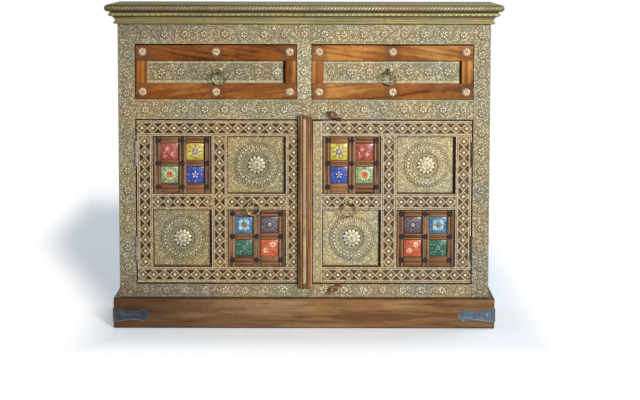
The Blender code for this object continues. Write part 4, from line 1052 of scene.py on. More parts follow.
# %% Rope and dashes
CASE_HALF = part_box("stile_right")[1].x
NOSE_RADIUS = 0.0090
NOSE_CUT = 0.0008
NOSE_OUT = FRONT - TOP_LOW.y - NOSE_RADIUS
NOSE_MIDDLE = (TOP_LOW.z + TOP_HIGH.z) / 2
BEAD_RADIUS = HIGH_BEAD / 2
BEAD_OUT = FRONT - CORNICE_LOW.y - BEAD_RADIUS
BACK_FREE = 0.002
ROPE_SINK, ROPE_SLANT, ROPE_DROOP, ROPE_PITCH = 0.0002, 38.0, 6.0, 0.0094
DASH_SINK, DASH_SLANT, DASH_DROOP, DASH_PITCH = 0.0004, 8.0, 8.0, 0.0158
ROPE = bump(0.0150, 0.0048, 0.0011, 0.0, 8, 0.6, 1.0)
DASH = bump(0.0096, 0.0034, 0.0012, 0.0, 8, 0.6, 0.8)


def merged_copy(name):
    """A bmesh of a CAD node with its loose triangles joined and its flat faces made whole."""
    shape = bmesh.new()
    shape.from_mesh(NODES[name].data)
    bmesh.ops.remove_doubles(shape, verts=shape.verts[:], dist=0.00002)
    flat = math.radians(1.0)
    bmesh.ops.dissolve_limit(shape, angle_limit=flat, verts=shape.verts[:], edges=shape.edges[:])
    return shape


def bent(mark, spin, radius):
    """A copy of a mark, turned in its plane and bent round a moulding that runs along its X axis."""
    copy = mark.copy()
    copy.transform(turned(spin, "Z"))
    for vert in copy.vertices:
        rise = min(abs(vert.co.y), radius)
        vert.co.z -= radius - math.sqrt(radius * radius - rise * rise)
    return copy


def trim(shape, mark, middle, radius, height, droop, pitch):
    """Set a mark along a round moulding, on the front and both ends, at an angle below its middle."""
    lean = math.radians(droop)
    out = middle + radius * math.cos(lean)
    z = height - radius * math.sin(lean)
    tilt = turned(droop, "X")
    for x in spots(-CASE_HALF - middle, CASE_HALF + middle, pitch):
        stamp(shape, mark, at(x, FRONT - out, z, FACE_FRONT @ tilt))
    for sign, facing in ((-1.0, FACE_LEFT), (1.0, FACE_RIGHT)):
        for y in spots(FRONT - middle, TOP_HIGH.y - BACK_FREE, pitch):
            stamp(shape, mark, at(sign * (CASE_HALF + out), y, z, facing @ tilt))


chased_top = merged_copy("top_board")
chased_top.verts.layers.float.new("crest")
shrink = NOSE_CUT / NOSE_RADIUS
for vert in chased_top.verts:
    beside = max(abs(vert.co.x) - CASE_HALF - NOSE_OUT, 0.0)
    before = max(FRONT - NOSE_OUT - vert.co.y, 0.0)
    if max(beside, before) > 0.0001:
        vert.co.x -= math.copysign(beside * shrink, vert.co.x)
        vert.co.y += before * shrink
        vert.co.z -= (vert.co.z - NOSE_MIDDLE) * shrink
make_piece("top_board_chased", chased_top, "case", "sheet_clad_board", TOP_SHEET, replaces=("top_board",),
           sharp=30.0)
rope = new_relief()
rope_radius = NOSE_RADIUS - NOSE_CUT - ROPE_SINK
trim(rope, bent(ROPE, ROPE_SLANT, NOSE_RADIUS), NOSE_OUT, rope_radius, NOSE_MIDDLE, ROPE_DROOP, ROPE_PITCH)
make_piece("cornice_rope", rope, "case", "sheet_clad_board", TOP_SHEET)
dashes = new_relief()
dash_radius = BEAD_RADIUS - DASH_SINK
bead_middle = BEAD_FOOT + BEAD_RADIUS
trim(dashes, bent(DASH, DASH_SLANT, BEAD_RADIUS), BEAD_OUT, dash_radius, bead_middle, DASH_DROOP, DASH_PITCH)
make_piece("cornice_dashes", dashes, "case", "sheet_clad_board", CORNICE_SHEET)

# %% [markdown]
# ## Drawer fronts
# Each front is a frame of four oiled boards: the rails run through and the stiles stand between them.
# Building the boards one by one gives each its own grain direction and a fine groove at every joint. A
# bevel takes the sharpness off the edges, and a few cuts across the rails let a dark stain gather under the
# nails.

# %% Drawer frames
PANEL_REBATE = Vector((0.0077, 0.0, 0.0077))
NAIL_INSET = 0.0195
NAIL_RADIUS = 0.0120
STAIN_RADIUS = NAIL_RADIUS * 1.35
DRAWER_REVEAL = 0.0012
STILE_SINK = 0.0002
BACK_SINK = 0.0003
RAIL_SLOPES = (-0.12, 0.16)
DRAWER_WINDOWS = {}
NAIL_PLACES = {}

for number, side in enumerate(SIDES):
    low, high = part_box(side + "_drawer_frame")
    panel_low, panel_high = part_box(side + "_drawer_panel")
    window_low, window_high = panel_low + PANEL_REBATE, panel_high - PANEL_REBATE
    DRAWER_WINDOWS[side] = (window_low, window_high)
    NAIL_PLACES[side] = [low.x + NAIL_INSET, (low.x + high.x) / 2, high.x - NAIL_INSET]
    stains = [(x, STAIN_RADIUS) for x in NAIL_PLACES[side]]
    back = high.y - BACK_SINK
    left, right = low.x + DRAWER_REVEAL / 2, high.x - DRAWER_REVEAL / 2
    face = new_boards()
    for row, (foot, head) in enumerate(((low.z, window_low.z), (window_high.z, high.z - DRAWER_REVEAL))):
        add_board(face, (left, FRONT, foot), (right, back, head), "X", 2.3 * row + 5.1 * number + 0.4,
                  stains=stains, slope=RAIL_SLOPES[row])
    for row, (start, stop) in enumerate(((left, window_low.x), (window_high.x, right))):
        stile_low = (start, FRONT + STILE_SINK, window_low.z)
        add_board(face, stile_low, (stop, back, window_high.z), "Z", 1.7 * row + 3.7 * number)
    make_piece(side + "_drawer_face", face, side + "_drawer", "drawer_wood", DRAWER_WOOD[side],
               replaces=(side + "_drawer_frame",))

# %% [markdown]
# ## Flower nails and drawer panels
# Six big cast nails hold each front: a low dome chased into eight petals round a bud. The sunk panel behind
# carries seven of the same flowers as the case, and stops short of the right stile, where a dark strip of
# wood paints the stile's shadow on it.

# %% Nails and panels
PANEL_FOLD_WIDTH = 0.0082
PANEL_SHADOW = 0.0056
PANEL_SHADOW_RISE = 0.0010
PANEL_PITCH = FLOWER_PITCH * 0.985
PANEL_FOLD = rib(PANEL_FOLD_WIDTH, 0.0012, 0.8, crest=0.45)


def nail_stamp(radius, height, petals):
    """A flower-headed nail on its XY plane: a dark dome with bright petals and a bud."""
    shape = new_relief()
    stamp(shape, bump(radius * 2, radius * 2, height * 0.62, 0.0, 16, 0.74, -0.4))
    petal = bump(radius * 0.86, radius * 0.62, height * 0.42, 0.25)
    for matrix in around(petals, radius * 0.60):
        stamp(shape, petal, matrix @ shifted(z=height * 0.40) @ turned(9.0, "Y"))
    stamp(shape, bump(radius * 0.56, radius * 0.56, height * 0.45, 0.0, 8), shifted(z=height * 0.52))
    return as_stamp(shape)


FLOWER_NAIL = nail_stamp(NAIL_RADIUS, 0.0050, 8)
for side in SIDES:
    body = side + "_drawer"
    low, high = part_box(body + "_frame")
    nails = new_relief()
    for x in NAIL_PLACES[side]:
        for z in (low.z + NAIL_INSET, high.z - NAIL_INSET):
            stamp(nails, FLOWER_NAIL, at(x, FRONT, z, spin=12.0))
    make_piece(body + "_nails", nails, body, "brass", NAIL)
    relief = new_relief()
    low, high = DRAWER_WINDOWS[side]
    face = low.y
    ring_low, ring_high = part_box(body + "_pull_ring")
    panel_end = high.x - PANEL_SHADOW
    for step in range(-3, 4):
        x = (ring_low.x + ring_high.x) / 2 + step * PANEL_PITCH
        stamp(relief, FLOWER, at(x, face, (low.z + high.z) / 2) @ by_hand())
    keep_within(relief, 0, low.x + FOLD_WIDTH, panel_end - FOLD_WIDTH)
    keep_within(relief, 2, low.z + PANEL_FOLD_WIDTH, high.z - PANEL_FOLD_WIDTH)
    make_piece(body + "_panel_relief", relief, body, "sheet_clad_board", PANEL_SHEET[side])
    folds = new_relief()
    for z in (low.z + PANEL_FOLD_WIDTH / 2, high.z - PANEL_FOLD_WIDTH / 2):
        stamp(folds, PANEL_FOLD, lay(point(low.x, z, face), point(panel_end, z, face)))
    for x in (low.x + FOLD_WIDTH / 2, panel_end - FOLD_WIDTH / 2):
        ends = (low.z + PANEL_FOLD_WIDTH, high.z - PANEL_FOLD_WIDTH)
        stamp(folds, FOLD, lay(*(point(x, z, face) for z in ends)))
    make_piece(body + "_panel_folds", folds, body, "sheet_clad_board", FOLDED_SHEET)
    # A dark strip of painted shadow, cast by the right stile, closes the panel's right end.
    gap_shadow = new_boards()
    gap_low = (panel_end, face - PANEL_SHADOW_RISE, low.z)
    add_board(gap_shadow, gap_low, (high.x, face, high.z), "Z", 2.0, FINE_EDGE)
    make_piece(body + "_panel_gap", gap_shadow, body, "drawer_wood", SHADED_WOOD)

# %% [markdown]
# ## The diamond fret
# Bands of diamonds run round the doors: pale raised lines cross between plain border strips, with a pin in
# the middle of each diamond, made bright by a painted highlight, and dark cut triangles between. The CAD
# doors have the triangles cut in. The lines are one-metre ribs laid from point to point, so a band is only a
# start, an end and a count.

# %% Fret helpers
FRET_HALF = 0.01425
FRET_RIB = rib(0.0031, 0.0013)
BORDER_RIB = rib(0.0027, 0.0010, 0.6)
# A crest of 1.6 gives the diamond pins the fret finish's painted highlight.
PIN = bump(0.0086, 0.0086, 0.0019, 0.0, 8, 0.6, 1.6)
STILE_PIN = bump(0.0086, 0.0086, 0.0019, 0.0, 8, 0.6, 0.8)
BORDERS = (FRET_HALF + 0.0016, FRET_HALF + 0.0060)


def dark_triangle(half, rise):
    """A thin dark plate for a cut that the CAD door does not have: its tip at the origin, its base at +Y."""
    shape = new_relief()
    bmesh.ops.create_cone(shape, cap_ends=True, segments=3, radius1=1.0, radius2=1.0, depth=0.0003)
    layer = shape.verts.layers.float["crest"]
    for vert in shape.verts:
        vert[layer] = -1.0
    bmesh.ops.rotate(shape, matrix=turned(-90, "Z"), verts=shape.verts)
    bmesh.ops.scale(shape, vec=(half / math.cos(math.radians(30)), rise / 1.5, 1.0), verts=shape.verts)
    bmesh.ops.translate(shape, vec=(0.0, rise / 1.5, 0.0), verts=shape.verts)
    return as_stamp(shape)


def fret_band(shape, start, stop, count, low_side=1.0):
    """Diamonds from start to stop; low_side says how much of their lower half is there, from 0 to 1."""
    step = (stop - start) / count
    across = OUTWARD.cross(step).normalized()
    halves = ((-1.0, low_side), (1.0, 1.0))
    for index in range(count):
        tip, middle, far = (start + step * (index + share) for share in (0.0, 0.5, 1.0))
        stamp(shape, PIN, Matrix.Translation(middle) @ FACE_FRONT)
        for sign, share in halves:
            peak = middle + across * FRET_HALF * sign
            for end in (tip, far):
                stamp(shape, FRET_RIB, lay(end, end + (peak - end) * share))
    for sign, share in halves:
        if share == 1.0:
            for border in BORDERS:
                stamp(shape, BORDER_RIB, lay(start + across * border * sign, stop + across * border * sign))


print("fret helpers ready")

# %% Fret on both doors
WINDOW_GROWTH = {"lattice": 0.0003, "medallion": -0.0057}
RAIL_COUNT, CROSS_COUNT, STILE_COUNT = 14, 6, 12
WEDGE_GAP = 0.0016
INNER_STILE = 0.0206
FRET_FREE = 0.0006
STILE_END = 0.001
STILE_EDGE = 0.0024
STILE_PIN_PITCH = 0.0225
DOOR_WINDOWS = {}
for side in SIDES:
    for row in ("upper", "lower"):
        for kind, growth in WINDOW_GROWTH.items():
            low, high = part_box(f"{side}_door_{row}_{kind}")
            grow = Vector((growth, 0.0, growth))
            DOOR_WINDOWS[side, row, kind] = (low - grow, high + grow)

for side in SIDES:
    low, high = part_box(side + "_door_frame")
    on_left = side == "left"
    across = [DOOR_WINDOWS[side, "upper", kind] for kind in WINDOW_GROWTH]
    columns = sorted((first.x, last.x) for first, last in across)
    rows = [[corner.z for corner in DOOR_WINDOWS[side, row, "lattice"]] for row in ("lower", "upper")]
    foot, head = rows[0][0], rows[1][1]
    inner_edge = columns[1][1] if on_left else columns[0][0]
    outer_edge = low.x if on_left else high.x
    outer_window = columns[0][0] if on_left else columns[1][1]
    fret = new_relief()
    start, stop = sorted((outer_edge, inner_edge))
    pitch = (stop - start) / RAIL_COUNT
    for z in ((low.z + foot) / 2, (head + high.z) / 2):
        fret_band(fret, point(start, z), point(stop + on_left * pitch, z), RAIL_COUNT + on_left)
        if on_left:
            wedge = dark_triangle(pitch / 2 - WEDGE_GAP, FRET_HALF - 2 * WEDGE_GAP)
            stamp(fret, wedge, at(stop, FRONT, z + WEDGE_GAP))
            stamp(fret, wedge, at(stop, FRONT, z - WEDGE_GAP, spin=180.0))
    middle = (rows[0][1] + rows[1][0]) / 2
    for start, stop in columns:
        fret_band(fret, point(start, middle), point(stop, middle), CROSS_COUNT)
    for x in ((columns[0][1] + columns[1][0]) / 2, (outer_edge + outer_window) / 2):
        fret_band(fret, point(x, foot), point(x, head), STILE_COUNT)
    if on_left:
        x = inner_edge + INNER_STILE
        reach = (high.x - x - FRET_FREE) / FRET_HALF
        fret_band(fret, point(x, foot), point(x, head), STILE_COUNT, reach)
    else:
        for x in (STRIP_HIGH.x + STILE_EDGE, inner_edge - STILE_EDGE):
            stamp(fret, BORDER_RIB, lay(point(x, low.z + STILE_END), point(x, high.z - STILE_END)))
        for z in spots(low.z + 2 * STILE_END, high.z - 2 * STILE_END, STILE_PIN_PITCH):
            stamp(fret, STILE_PIN, at((STRIP_HIGH.x + inner_edge) / 2, FRONT, z))
    make_piece(side + "_door_fret", fret, side + "_door", "fret_wood", FRET[side])

# %% [markdown]
# ## Medallions
# Each sunk panel is chased with a sunflower: two rows of petals on the boss, then rows of strokes that grow
# outward, each on a wider dark plate of painted shade. The CAD panel is already turned to that profile, so
# each row only needs its radius, its height above the board and its count. A dark plate of painted shade
# lies under the boss too. Fans of leaves fill the corners. A thin dark fillet of wood holds the panel in its
# rebate; wider on the right and at the foot and darkest on the right, it paints the frame's shadow. The
# panel's back is bare wood.

# %% Medallion relief
MEDALLION_FACE = FRONT + 0.0098
# The fillet's widths, left, right, foot and head: its wide right and foot are painted shadow.
REBATE_SHADOW_WIDTHS = (0.0030, 0.0074, 0.0056, 0.0034)
REBATE_RISE = 0.0022
RING_RADIUS = 0.0330
LIP_RADIUS = 0.0346
LIP_HEIGHT = 0.0032
RIM_RADIUS = 0.0585
RIM_HEIGHT = 0.0016
BOSS_WIDTH = 0.0520
BOSS_SHADE_HEIGHT = 0.0006
BOSS_LIFT = 0.0008
BUD_LIFT = 0.0052
# Each row of boss petals: radius, height, count, length, width and droop.
BOSS_ROWS = ((0.0084, 0.0044, 7, 0.0106, 0.0084, 6.0), (0.0196, 0.0022, 12, 0.0122, 0.0096, 16.0))
# Each row of strokes: radius, count, length, width, taper and crest.
STROKE_ROWS = (
    (0.0286, 34, 0.0072, 0.0030, 0.20, 0.45),
    (0.0356, 40, 0.0040, 0.0032, 0.10, 0.70),
    (0.0420, 32, 0.0082, 0.0040, 0.20, 0.55),
    (0.0506, 30, 0.0096, 0.0056, 0.25, 1.00),
    (0.0580, 42, 0.0056, 0.0042, 0.25, 0.80),
    (0.0640, 48, 0.0056, 0.0036, 0.25, 0.60),
)
# How much wider the dark plate of painted shade under each stroke is.
STROKE_SHADE_MARGIN = 0.0023
# Each row of corner leaves: radius, count and degrees between two.
CORNER_ROWS = ((0.0700, 3, 11.0), (0.0790, 5, 7.5), (0.0880, 5, 8.5), (0.0975, 3, 8.0))


def medallion_height(radius):
    """How far the turned panel stands off its board at a radius outside the boss."""
    if radius < RING_RADIUS:
        return RIM_HEIGHT / 2
    share = max(0.0, (radius - LIP_RADIUS) / (RIM_RADIUS - LIP_RADIUS))
    return LIP_HEIGHT + (RIM_HEIGHT - LIP_HEIGHT) * share if radius < RIM_RADIUS else 0.0


def medallion_stamp():
    shape = new_relief()
    # A dark plate of painted shade under the boss.
    ground = bump(BOSS_WIDTH, BOSS_WIDTH, BOSS_SHADE_HEIGHT, 0.0, 24, 0.97, -1.0)
    stamp(shape, ground, shifted(z=BOSS_LIFT))
    stamp(shape, BUD, shifted(z=BUD_LIFT))
    for number, (radius, height, count, length, width, droop) in enumerate(BOSS_ROWS):
        petal = bump(length, width, 0.0022, 0.22, 8, 0.72)
        for matrix in around(count, radius, 15.0 * number):
            stamp(shape, petal, shifted(z=height) @ matrix @ turned(droop, "Y"))
    for number, (radius, count, length, width, taper, crest) in enumerate(STROKE_ROWS):
        stroke = bump(length, width, 0.0015, taper, crest=crest)
        stroke_shade = bump(length + STROKE_SHADE_MARGIN, width + STROKE_SHADE_MARGIN, 0.0005, taper, crest=-crest)
        height = shifted(z=medallion_height(radius))
        for matrix in around(count, radius, 180.0 / count * (number % 2)):
            stamp(shape, stroke_shade, height @ matrix)
            stamp(shape, stroke, height @ matrix)
    leaf = bump(0.0072, 0.0034, 0.0010, 0.2, 6, 0.5, 0.6)
    for corner in CORNERS:
        for radius, count, spread in CORNER_ROWS:
            for index in range(count):
                lean = corner + (index - (count - 1) / 2) * spread
                stamp(shape, leaf, turned(lean, "Z") @ shifted(radius))
    return as_stamp(shape)


MEDALLION = medallion_stamp()
for (side, row, kind), (low, high) in DOOR_WINDOWS.items():
    if kind != "medallion":
        continue
    body = side + "_door"
    name = f"{body}_{row}_medallion"
    board_low, board_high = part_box(name)
    bare_low = (board_low.x, board_high.y - BARE_SINK, board_low.z)
    bare_high = (board_high.x, board_high.y + BARE_RISE, board_high.z)
    backing = new_boards()
    add_board(backing, bare_low, bare_high, "X", 2.0, FINE_EDGE)
    make_piece(name + "_back", backing, body, "fret_wood", LATTICE_WOOD)
    relief = new_relief()
    stamp(relief, MEDALLION, at((low.x + high.x) / 2, MEDALLION_FACE, (low.z + high.z) / 2))
    make_piece(name + "_relief", relief, body, "sheet_clad_board", MEDALLION_SHEET[side])
    # Laths of painted shadow round the panel, the right one darkest.
    rebate = new_boards()
    surround(rebate, low, high, MEDALLION_FACE - REBATE_RISE, MEDALLION_FACE, REBATE_SHADOW_WIDTHS, 0.0008, 0)
    make_piece(f"{body}_{row}_rebate", rebate, body, "fret_wood", SHADE_LATH_WOOD, SHADED_WOOD)

# %% [markdown]
# ## Tile lattices
# Moulded bars cross between four tiles, with a dark iron stud on each crossing. Upright bars run through
# and short bars fit between them, so each bar is a board of its own, with two reeds along its face. Thin
# dark laths stand round the lattice, where it meets the door: painted shadow of the recess, darkest on the
# right and at the head.

# %% Lattice bars and studs
BAR = 0.0220
HEAD_BAR = 0.0210
MIDDLE_BAR = 0.0178
TILE_RISE = 0.0467
STUD_IN = {"left": 0.0152, "right": 0.0140, "foot": 0.0200, "head": 0.0128}
BAR_FACE = FRONT + 0.0030
REED_SPREAD = 0.0056
REED_SWELL = 0.0021
REED_RISE = 0.0016
# Widths of the laths of painted shadow: left, right, foot and head.
SHADE_LATH_WIDTHS = (0.0022, 0.0046, 0.0024, 0.0034)
LATH_RISE = 0.0020
STUD = nail_stamp(0.0078, 0.0048, 0)
STUD_LIFT = 0.0012


def tile_rows(high):
    """The lower and the upper row of tiles, as heights from foot to head, hung from the lattice's top."""
    upper = high.z - HEAD_BAR - TILE_RISE
    lower = upper - MIDDLE_BAR - TILE_RISE
    return (lower, lower + TILE_RISE), (upper, upper + TILE_RISE)


def bar(shape, low, high, back, along, shift):
    """A moulded bar between two corners of its face, with its two reeds; cross bars are of a redder wood."""
    place = int(along == "X")
    across = "z" if along == "X" else "x"
    add_board(shape, (low.x, BAR_FACE, low.z), (high.x, back, high.z), along, shift, 0.0012, place)
    for offset in (-REED_SPREAD, REED_SPREAD):
        middle = getattr((low + high) / 2, across) + offset
        ends = []
        for corner, way in ((low, -1.0), (high, 1.0)):
            end = Vector((corner.x, BAR_FACE + way * REED_RISE, corner.z))
            setattr(end, across, middle + way * REED_SWELL)
            ends.append(end)
        add_board(shape, *ends, along, shift + offset * FIGURE_STEP, 0.0013, place, crest=1.0)


lattices = [key[:2] for key in DOOR_WINDOWS if key[2] == "lattice"]
for number, (side, row) in enumerate(lattices):
    body = side + "_door"
    node = f"{body}_{row}_lattice"
    low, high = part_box(node)
    xs = [low.x + BAR / 2, (low.x + high.x) / 2, high.x - BAR / 2]
    lower, upper = tile_rows(high)
    lattice = new_boards()
    for index, x in enumerate(xs):
        ends = point(x - BAR / 2, low.z), point(x + BAR / 2, high.z)
        bar(lattice, *ends, high.y, "Z", number * 6.6 + index)
    for index, (foot, head) in enumerate(((low.z, lower[0]), (lower[1], upper[0]), (upper[1], high.z))):
        for start, stop in zip(xs, xs[1:]):
            ends = point(start + BAR / 2, foot), point(stop - BAR / 2, head)
            bar(lattice, *ends, high.y, "X", number * 4.2 + index + start)
    make_piece(node + "_bars", lattice, body, "lattice_wood", LATTICE_WOOD, CROSS_WOOD, replaces=(node,))
    shade_laths = new_boards()
    surround(shade_laths, low, high, BAR_FACE - LATH_RISE, BAR_FACE, SHADE_LATH_WIDTHS, 0.0006, 1)
    make_piece(node + "_edges", shade_laths, body, "lattice_wood", SHADE_LATH_WOOD, SHADED_WOOD)
    studs = new_relief()
    for x in (low.x + STUD_IN["left"], xs[1], high.x - STUD_IN["right"]):
        for z in (low.z + STUD_IN["foot"], (lower[1] + upper[0]) / 2, high.z - STUD_IN["head"]):
            stamp(studs, STUD, at(x, BAR_FACE - STUD_LIFT, z))
    make_piece(node + "_studs", studs, body, "iron", STUD_IRON)

# %% [markdown]
# ## Glazed tiles
# The four tiles behind each lattice are hand painted, each with its own design. A tile is a flat pillow
# with soft edges, and its painting is thin raised glaze: blobs set in rings round a centre, each in its own
# colour. A design is a ground colour and a few rings, and eight designs serve both doors.

# %% Glaze finishes
KILN_SPECK = swatch(60, 44, 34)
GLAZES = {
    "red": (165, 75, 60), "rose": (214, 120, 112), "cream": (238, 226, 196), "yellow": (206, 188, 66),
    "cobalt": (48, 67, 162), "sky": (58, 126, 170), "pale_blue": (164, 208, 208), "leaf": (64, 128, 66),
    "pine": (40, 96, 75), "orange": (207, 95, 50), "plum": (84, 69, 72), "lavender": (122, 123, 176),
    "white": (226, 230, 214), "brown": (96, 52, 34), "grey": (166, 160, 162), "mint": (150, 172, 120),
}


def glaze_finish(name, tone):
    """Clear-coated glaze: the colour pools and thins a little, with fine specks from the kiln."""
    gloss = {"Roughness": 0.34, "Specular IOR Level": 0.3, "Coat Weight": 0.25, "Coat Roughness": 0.12}
    finish, tree = new_finish("glaze_" + name, gloss)
    place = object_place(tree)
    light = swatch(*tone)[:3]
    thin = (*(min(1.0, part * 1.1 + 0.02) for part in light), 1.0)
    deep = (*(part * 0.6 for part in light), 1.0)
    pool = ease(tree, noise(tree, place, 130.0, 3.0), 0.30, 0.70)
    specks = ease(tree, noise(tree, place, 900.0, 1.0), 0.70, 0.78)
    colour = mix(tree, times(tree, specks, 0.5), mix(tree, pool, deep, thin), KILN_SPECK)
    return complete(finish, {"Base Color": colour}, pool, 0.25, 0.0004)


GLAZE = {name: glaze_finish(name, tone) for name, tone in GLAZES.items()}
GLAZE_NAMES = list(GLAZE)
print("glazes:", len(GLAZE))

# %% Tile designs
# A ring is: glaze, middle x and y, radius, count, start angle, length, width; all in millimetres and degrees.
DESIGNS = {
    "roses": ("red", (
        ("rose", -7, 7, 4.8, 5, 10, 7.0, 5.8), ("cream", -7, 7, 0, 1, 0, 4.6, 4.6),
        ("rose", 8, -8, 4.6, 5, 40, 6.6, 5.4), ("cream", 8, -8, 0, 1, 0, 4.2, 4.2),
        ("rose", 13, 13, 3.4, 3, 30, 7, 5), ("rose", -13, -13, 3.4, 3, 10, 7, 5),
        ("cream", 14, 2, 0, 1, 70, 5, 2.6), ("cream", -15, -4, 0, 1, 60, 5, 2.6),
        ("brown", 0, 0, 14, 6, 20, 3.4, 1.6),
    )),
    "sun": ("yellow", (
        ("cream", 0, 0, 15.0, 8, 22.5, 9, 3.6), ("leaf", 0, 0, 17.5, 4, 45, 7, 3.0),
        ("brown", 0, 0, 15.5, 4, 0, 11, 2.4), ("brown", 0, 0, 19, 8, 22, 4.4, 2.0),
        ("orange", 0, 0, 15, 4, 68, 4, 2.4), ("lavender", 0, 0, 6.2, 8, 0, 7.6, 4.0),
        ("cobalt", 0, 0, 9.5, 4, 45, 5.2, 2.0), ("cream", 0, 0, 0, 1, 0, 4, 4),
    )),
    "star": ("mint", (
        ("leaf", 0, 0, 18.5, 16, 11, 5.0, 3.4), ("leaf", 0, 0, 24, 12, 15, 5.0, 4.0),
        ("white", 0, 0, 21, 8, 22, 4.4, 2.4), ("cream", 0, 0, 12.5, 12, 0, 7.0, 4.0),
        ("yellow", 0, 0, 9.5, 8, 22.5, 7.0, 3.8), ("orange", 0, 0, 6.0, 8, 0, 8.6, 4.4),
        ("red", 0, 0, 0, 1, 0, 6.4, 6.4),
    )),
    "night": ("cobalt", (
        ("sky", 0, 0, 17, 8, 22.5, 5, 2.2), ("rose", 0, 0, 18.5, 4, 0, 6.0, 3.4),
        ("white", 0, 0, 17.0, 4, 90, 3, 2.0), ("white", 0, 0, 6.6, 5, 18, 6.0, 4.0),
        ("yellow", 0, 0, 0, 1, 0, 4.6, 4.6), ("sky", 0, 0, 25, 4, 45, 5, 5),
    )),
    "cross": ("sky", (
        ("cobalt", 0, 0, 21, 12, 15, 6, 4.4), ("pale_blue", 0, 0, 13, 4, 45, 13, 9.0),
        ("white", 0, 0, 12.5, 8, 22.5, 8, 3.2), ("yellow", 0, 0, 11.5, 4, 0, 14, 4.2),
        ("brown", 0, 0, 12.5, 4, 0, 15, 1.8), ("red", 0, 0, 0, 1, 0, 7, 7),
    )),
    "lace": ("plum", (
        ("grey", 0, 0, 12.5, 14, 0, 2.8, 2.4), ("lavender", 0, 0, 16.0, 12, 15, 4.6, 2.6),
        ("grey", 0, 0, 20.5, 16, 0, 3.6, 2.4), ("lavender", 0, 0, 24.5, 8, 22.5, 4, 3),
        ("plum", 0, 0, 18.5, 4, 45, 3, 2), ("grey", 0, 0, 0, 1, 0, 12, 12),
    )),
    "sprigs": ("pine", (
        ("pale_blue", 0, 0, 4.2, 8, 0, 2.2, 3.2), ("pine", 0, 0, 0, 1, 0, 4, 4),
        ("white", 0, 0, 14, 4, 50, 9, 1.5), ("leaf", 0, 0, 15, 8, 20, 5, 2.2),
        ("pale_blue", 0, 0, 22, 4, 38, 4.4, 2.0), ("white", 0, 0, 21, 4, 62, 3, 2.0),
    )),
    "poppies": ("orange", (
        ("red", -10, 12, 0, 1, 20, 12, 9), ("red", 12, -12, 0, 1, 20, 12, 9),
        ("cream", 9, 9, 5.2, 7, 0, 5.2, 4.6), ("orange", 9, 9, 0, 1, 0, 6.4, 6.4),
        ("cream", 9, 9, 0, 1, 0, 2.2, 2.2), ("cream", -10, -7, 5.2, 7, 20, 5.2, 4.6),
        ("orange", -10, -7, 0, 1, 0, 6.4, 6.4), ("cream", -10, -7, 0, 1, 0, 2.2, 2.2),
    )),
}
TILE_SETS = {
    ("left", "upper"): ("roses", "sun", "star", "night"),
    ("left", "lower"): ("cross", "lace", "sprigs", "poppies"),
    ("right", "upper"): ("sun", "roses", "night", "star"),
    ("right", "lower"): ("lace", "cross", "poppies", "sprigs"),
}
print("tile designs:", len(DESIGNS))

# %% Lay the tiles
TILE_FACE = FRONT + 0.0062
TILE_BACK = FRONT + 0.0100
TILE_GAP = 0.0002
BACKING_LAP = 0.0004
GLAZE_LIFT = 0.00028
PAINTED = 0.86
MILLIMETRE = 0.001


def tile(shape, x, z, half_wide, half_high, design):
    """One pillow-shaped tile with its painting, its face towards the front."""
    ground, rings = DESIGNS[design]
    low = (x - half_wide, TILE_FACE, z - half_high)
    high = (x + half_wide, TILE_BACK, z + half_high)
    add_board(shape, low, high, "X", 0.0, 0.0011, GLAZE_NAMES.index(ground))
    for layer, (glaze, right, up, radius, count, start, length, width) in enumerate(rings):
        lift = GLAZE_LIFT * (1.0 + 0.25 * layer)
        blob = bump(length * MILLIMETRE, width * MILLIMETRE, lift, 0.15, 8, 0.8)
        coated(blob, GLAZE_NAMES.index(glaze))
        for matrix in around(count, radius * MILLIMETRE, start):
            spot = shifted(right * MILLIMETRE, up * MILLIMETRE) @ matrix
            away = spot.translation
            if max(abs(away.x) / half_wide, abs(away.y) / half_high) < PAINTED:
                stamp(shape, blob, at(x, TILE_FACE, z) @ spot)


for (side, row), designs in TILE_SETS.items():
    low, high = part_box(f"{side}_door_{row}_lattice")
    node = f"{side}_door_{row}_tiles"
    half_wide = (high.x - low.x - 3 * BAR) / 4
    tiles = new_boards()
    for index, design in enumerate(designs):
        x = (low.x + high.x) / 2 + (BAR / 2 + half_wide) * (1 if index % 2 else -1)
        z = sum(tile_rows(high)[index < 2]) / 2
        tile(tiles, x, z, half_wide - TILE_GAP, TILE_RISE / 2 - TILE_GAP, design)
    back_low, back_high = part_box(node)
    backing_low = (back_low.x, TILE_BACK - BACKING_LAP, back_low.z)
    add_board(tiles, backing_low, back_high, "X", 1.0, place=len(GLAZE_NAMES))
    make_piece(node + "_glazed", tiles, side + "_door", "tile_glaze", *GLAZE.values(), LATTICE_WOOD,
               replaces=(node,))

# %% [markdown]
# ## Closing strip
# A moulded strip on the right door covers the joint between the doors: reeded brown wood on both sides of a
# pale flat fillet, and a dark lath of painted shadow where it meets the door. Long boards with rounded edges,
# stood beside each other, make the reeds. Short blocks close the fillet's ends; the foot block and the outer
# left reed are of a darker wood that paints their shade.

# %% Closing strip
FILLET_HALF = 0.0042
FILLET_SHIFT = -0.0012
FILLET_FOOT, FILLET_HEAD = 0.0130, 0.0100
FILLET_DEPTH = 0.0070
CORE_FACE = 0.0058
REED_BACK = 0.0080
REED_STEP = 0.0015
BLOCK_FACE = 0.0026
STRIP_SHADE_WIDTH = 0.0033
STRIP_SHADE_RISE = 0.0010
# The first wood is darker: painted shade on the outer left reed and on the foot block.
STRIP_WOODS = (
    wood_finish("strip_wood_painted_shade", ((82, 56, 32), (126, 94, 60), (160, 126, 90))),
    wood_finish("strip_wood", ((88, 60, 36), (134, 102, 70), (172, 140, 104))),
    wood_finish("strip_wood_red", ((106, 72, 48), (156, 114, 80), (192, 152, 116))),
)
FILLET_WOOD = wood_finish("fillet_wood", ((146, 119, 92), (188, 162, 130), (216, 195, 164)))
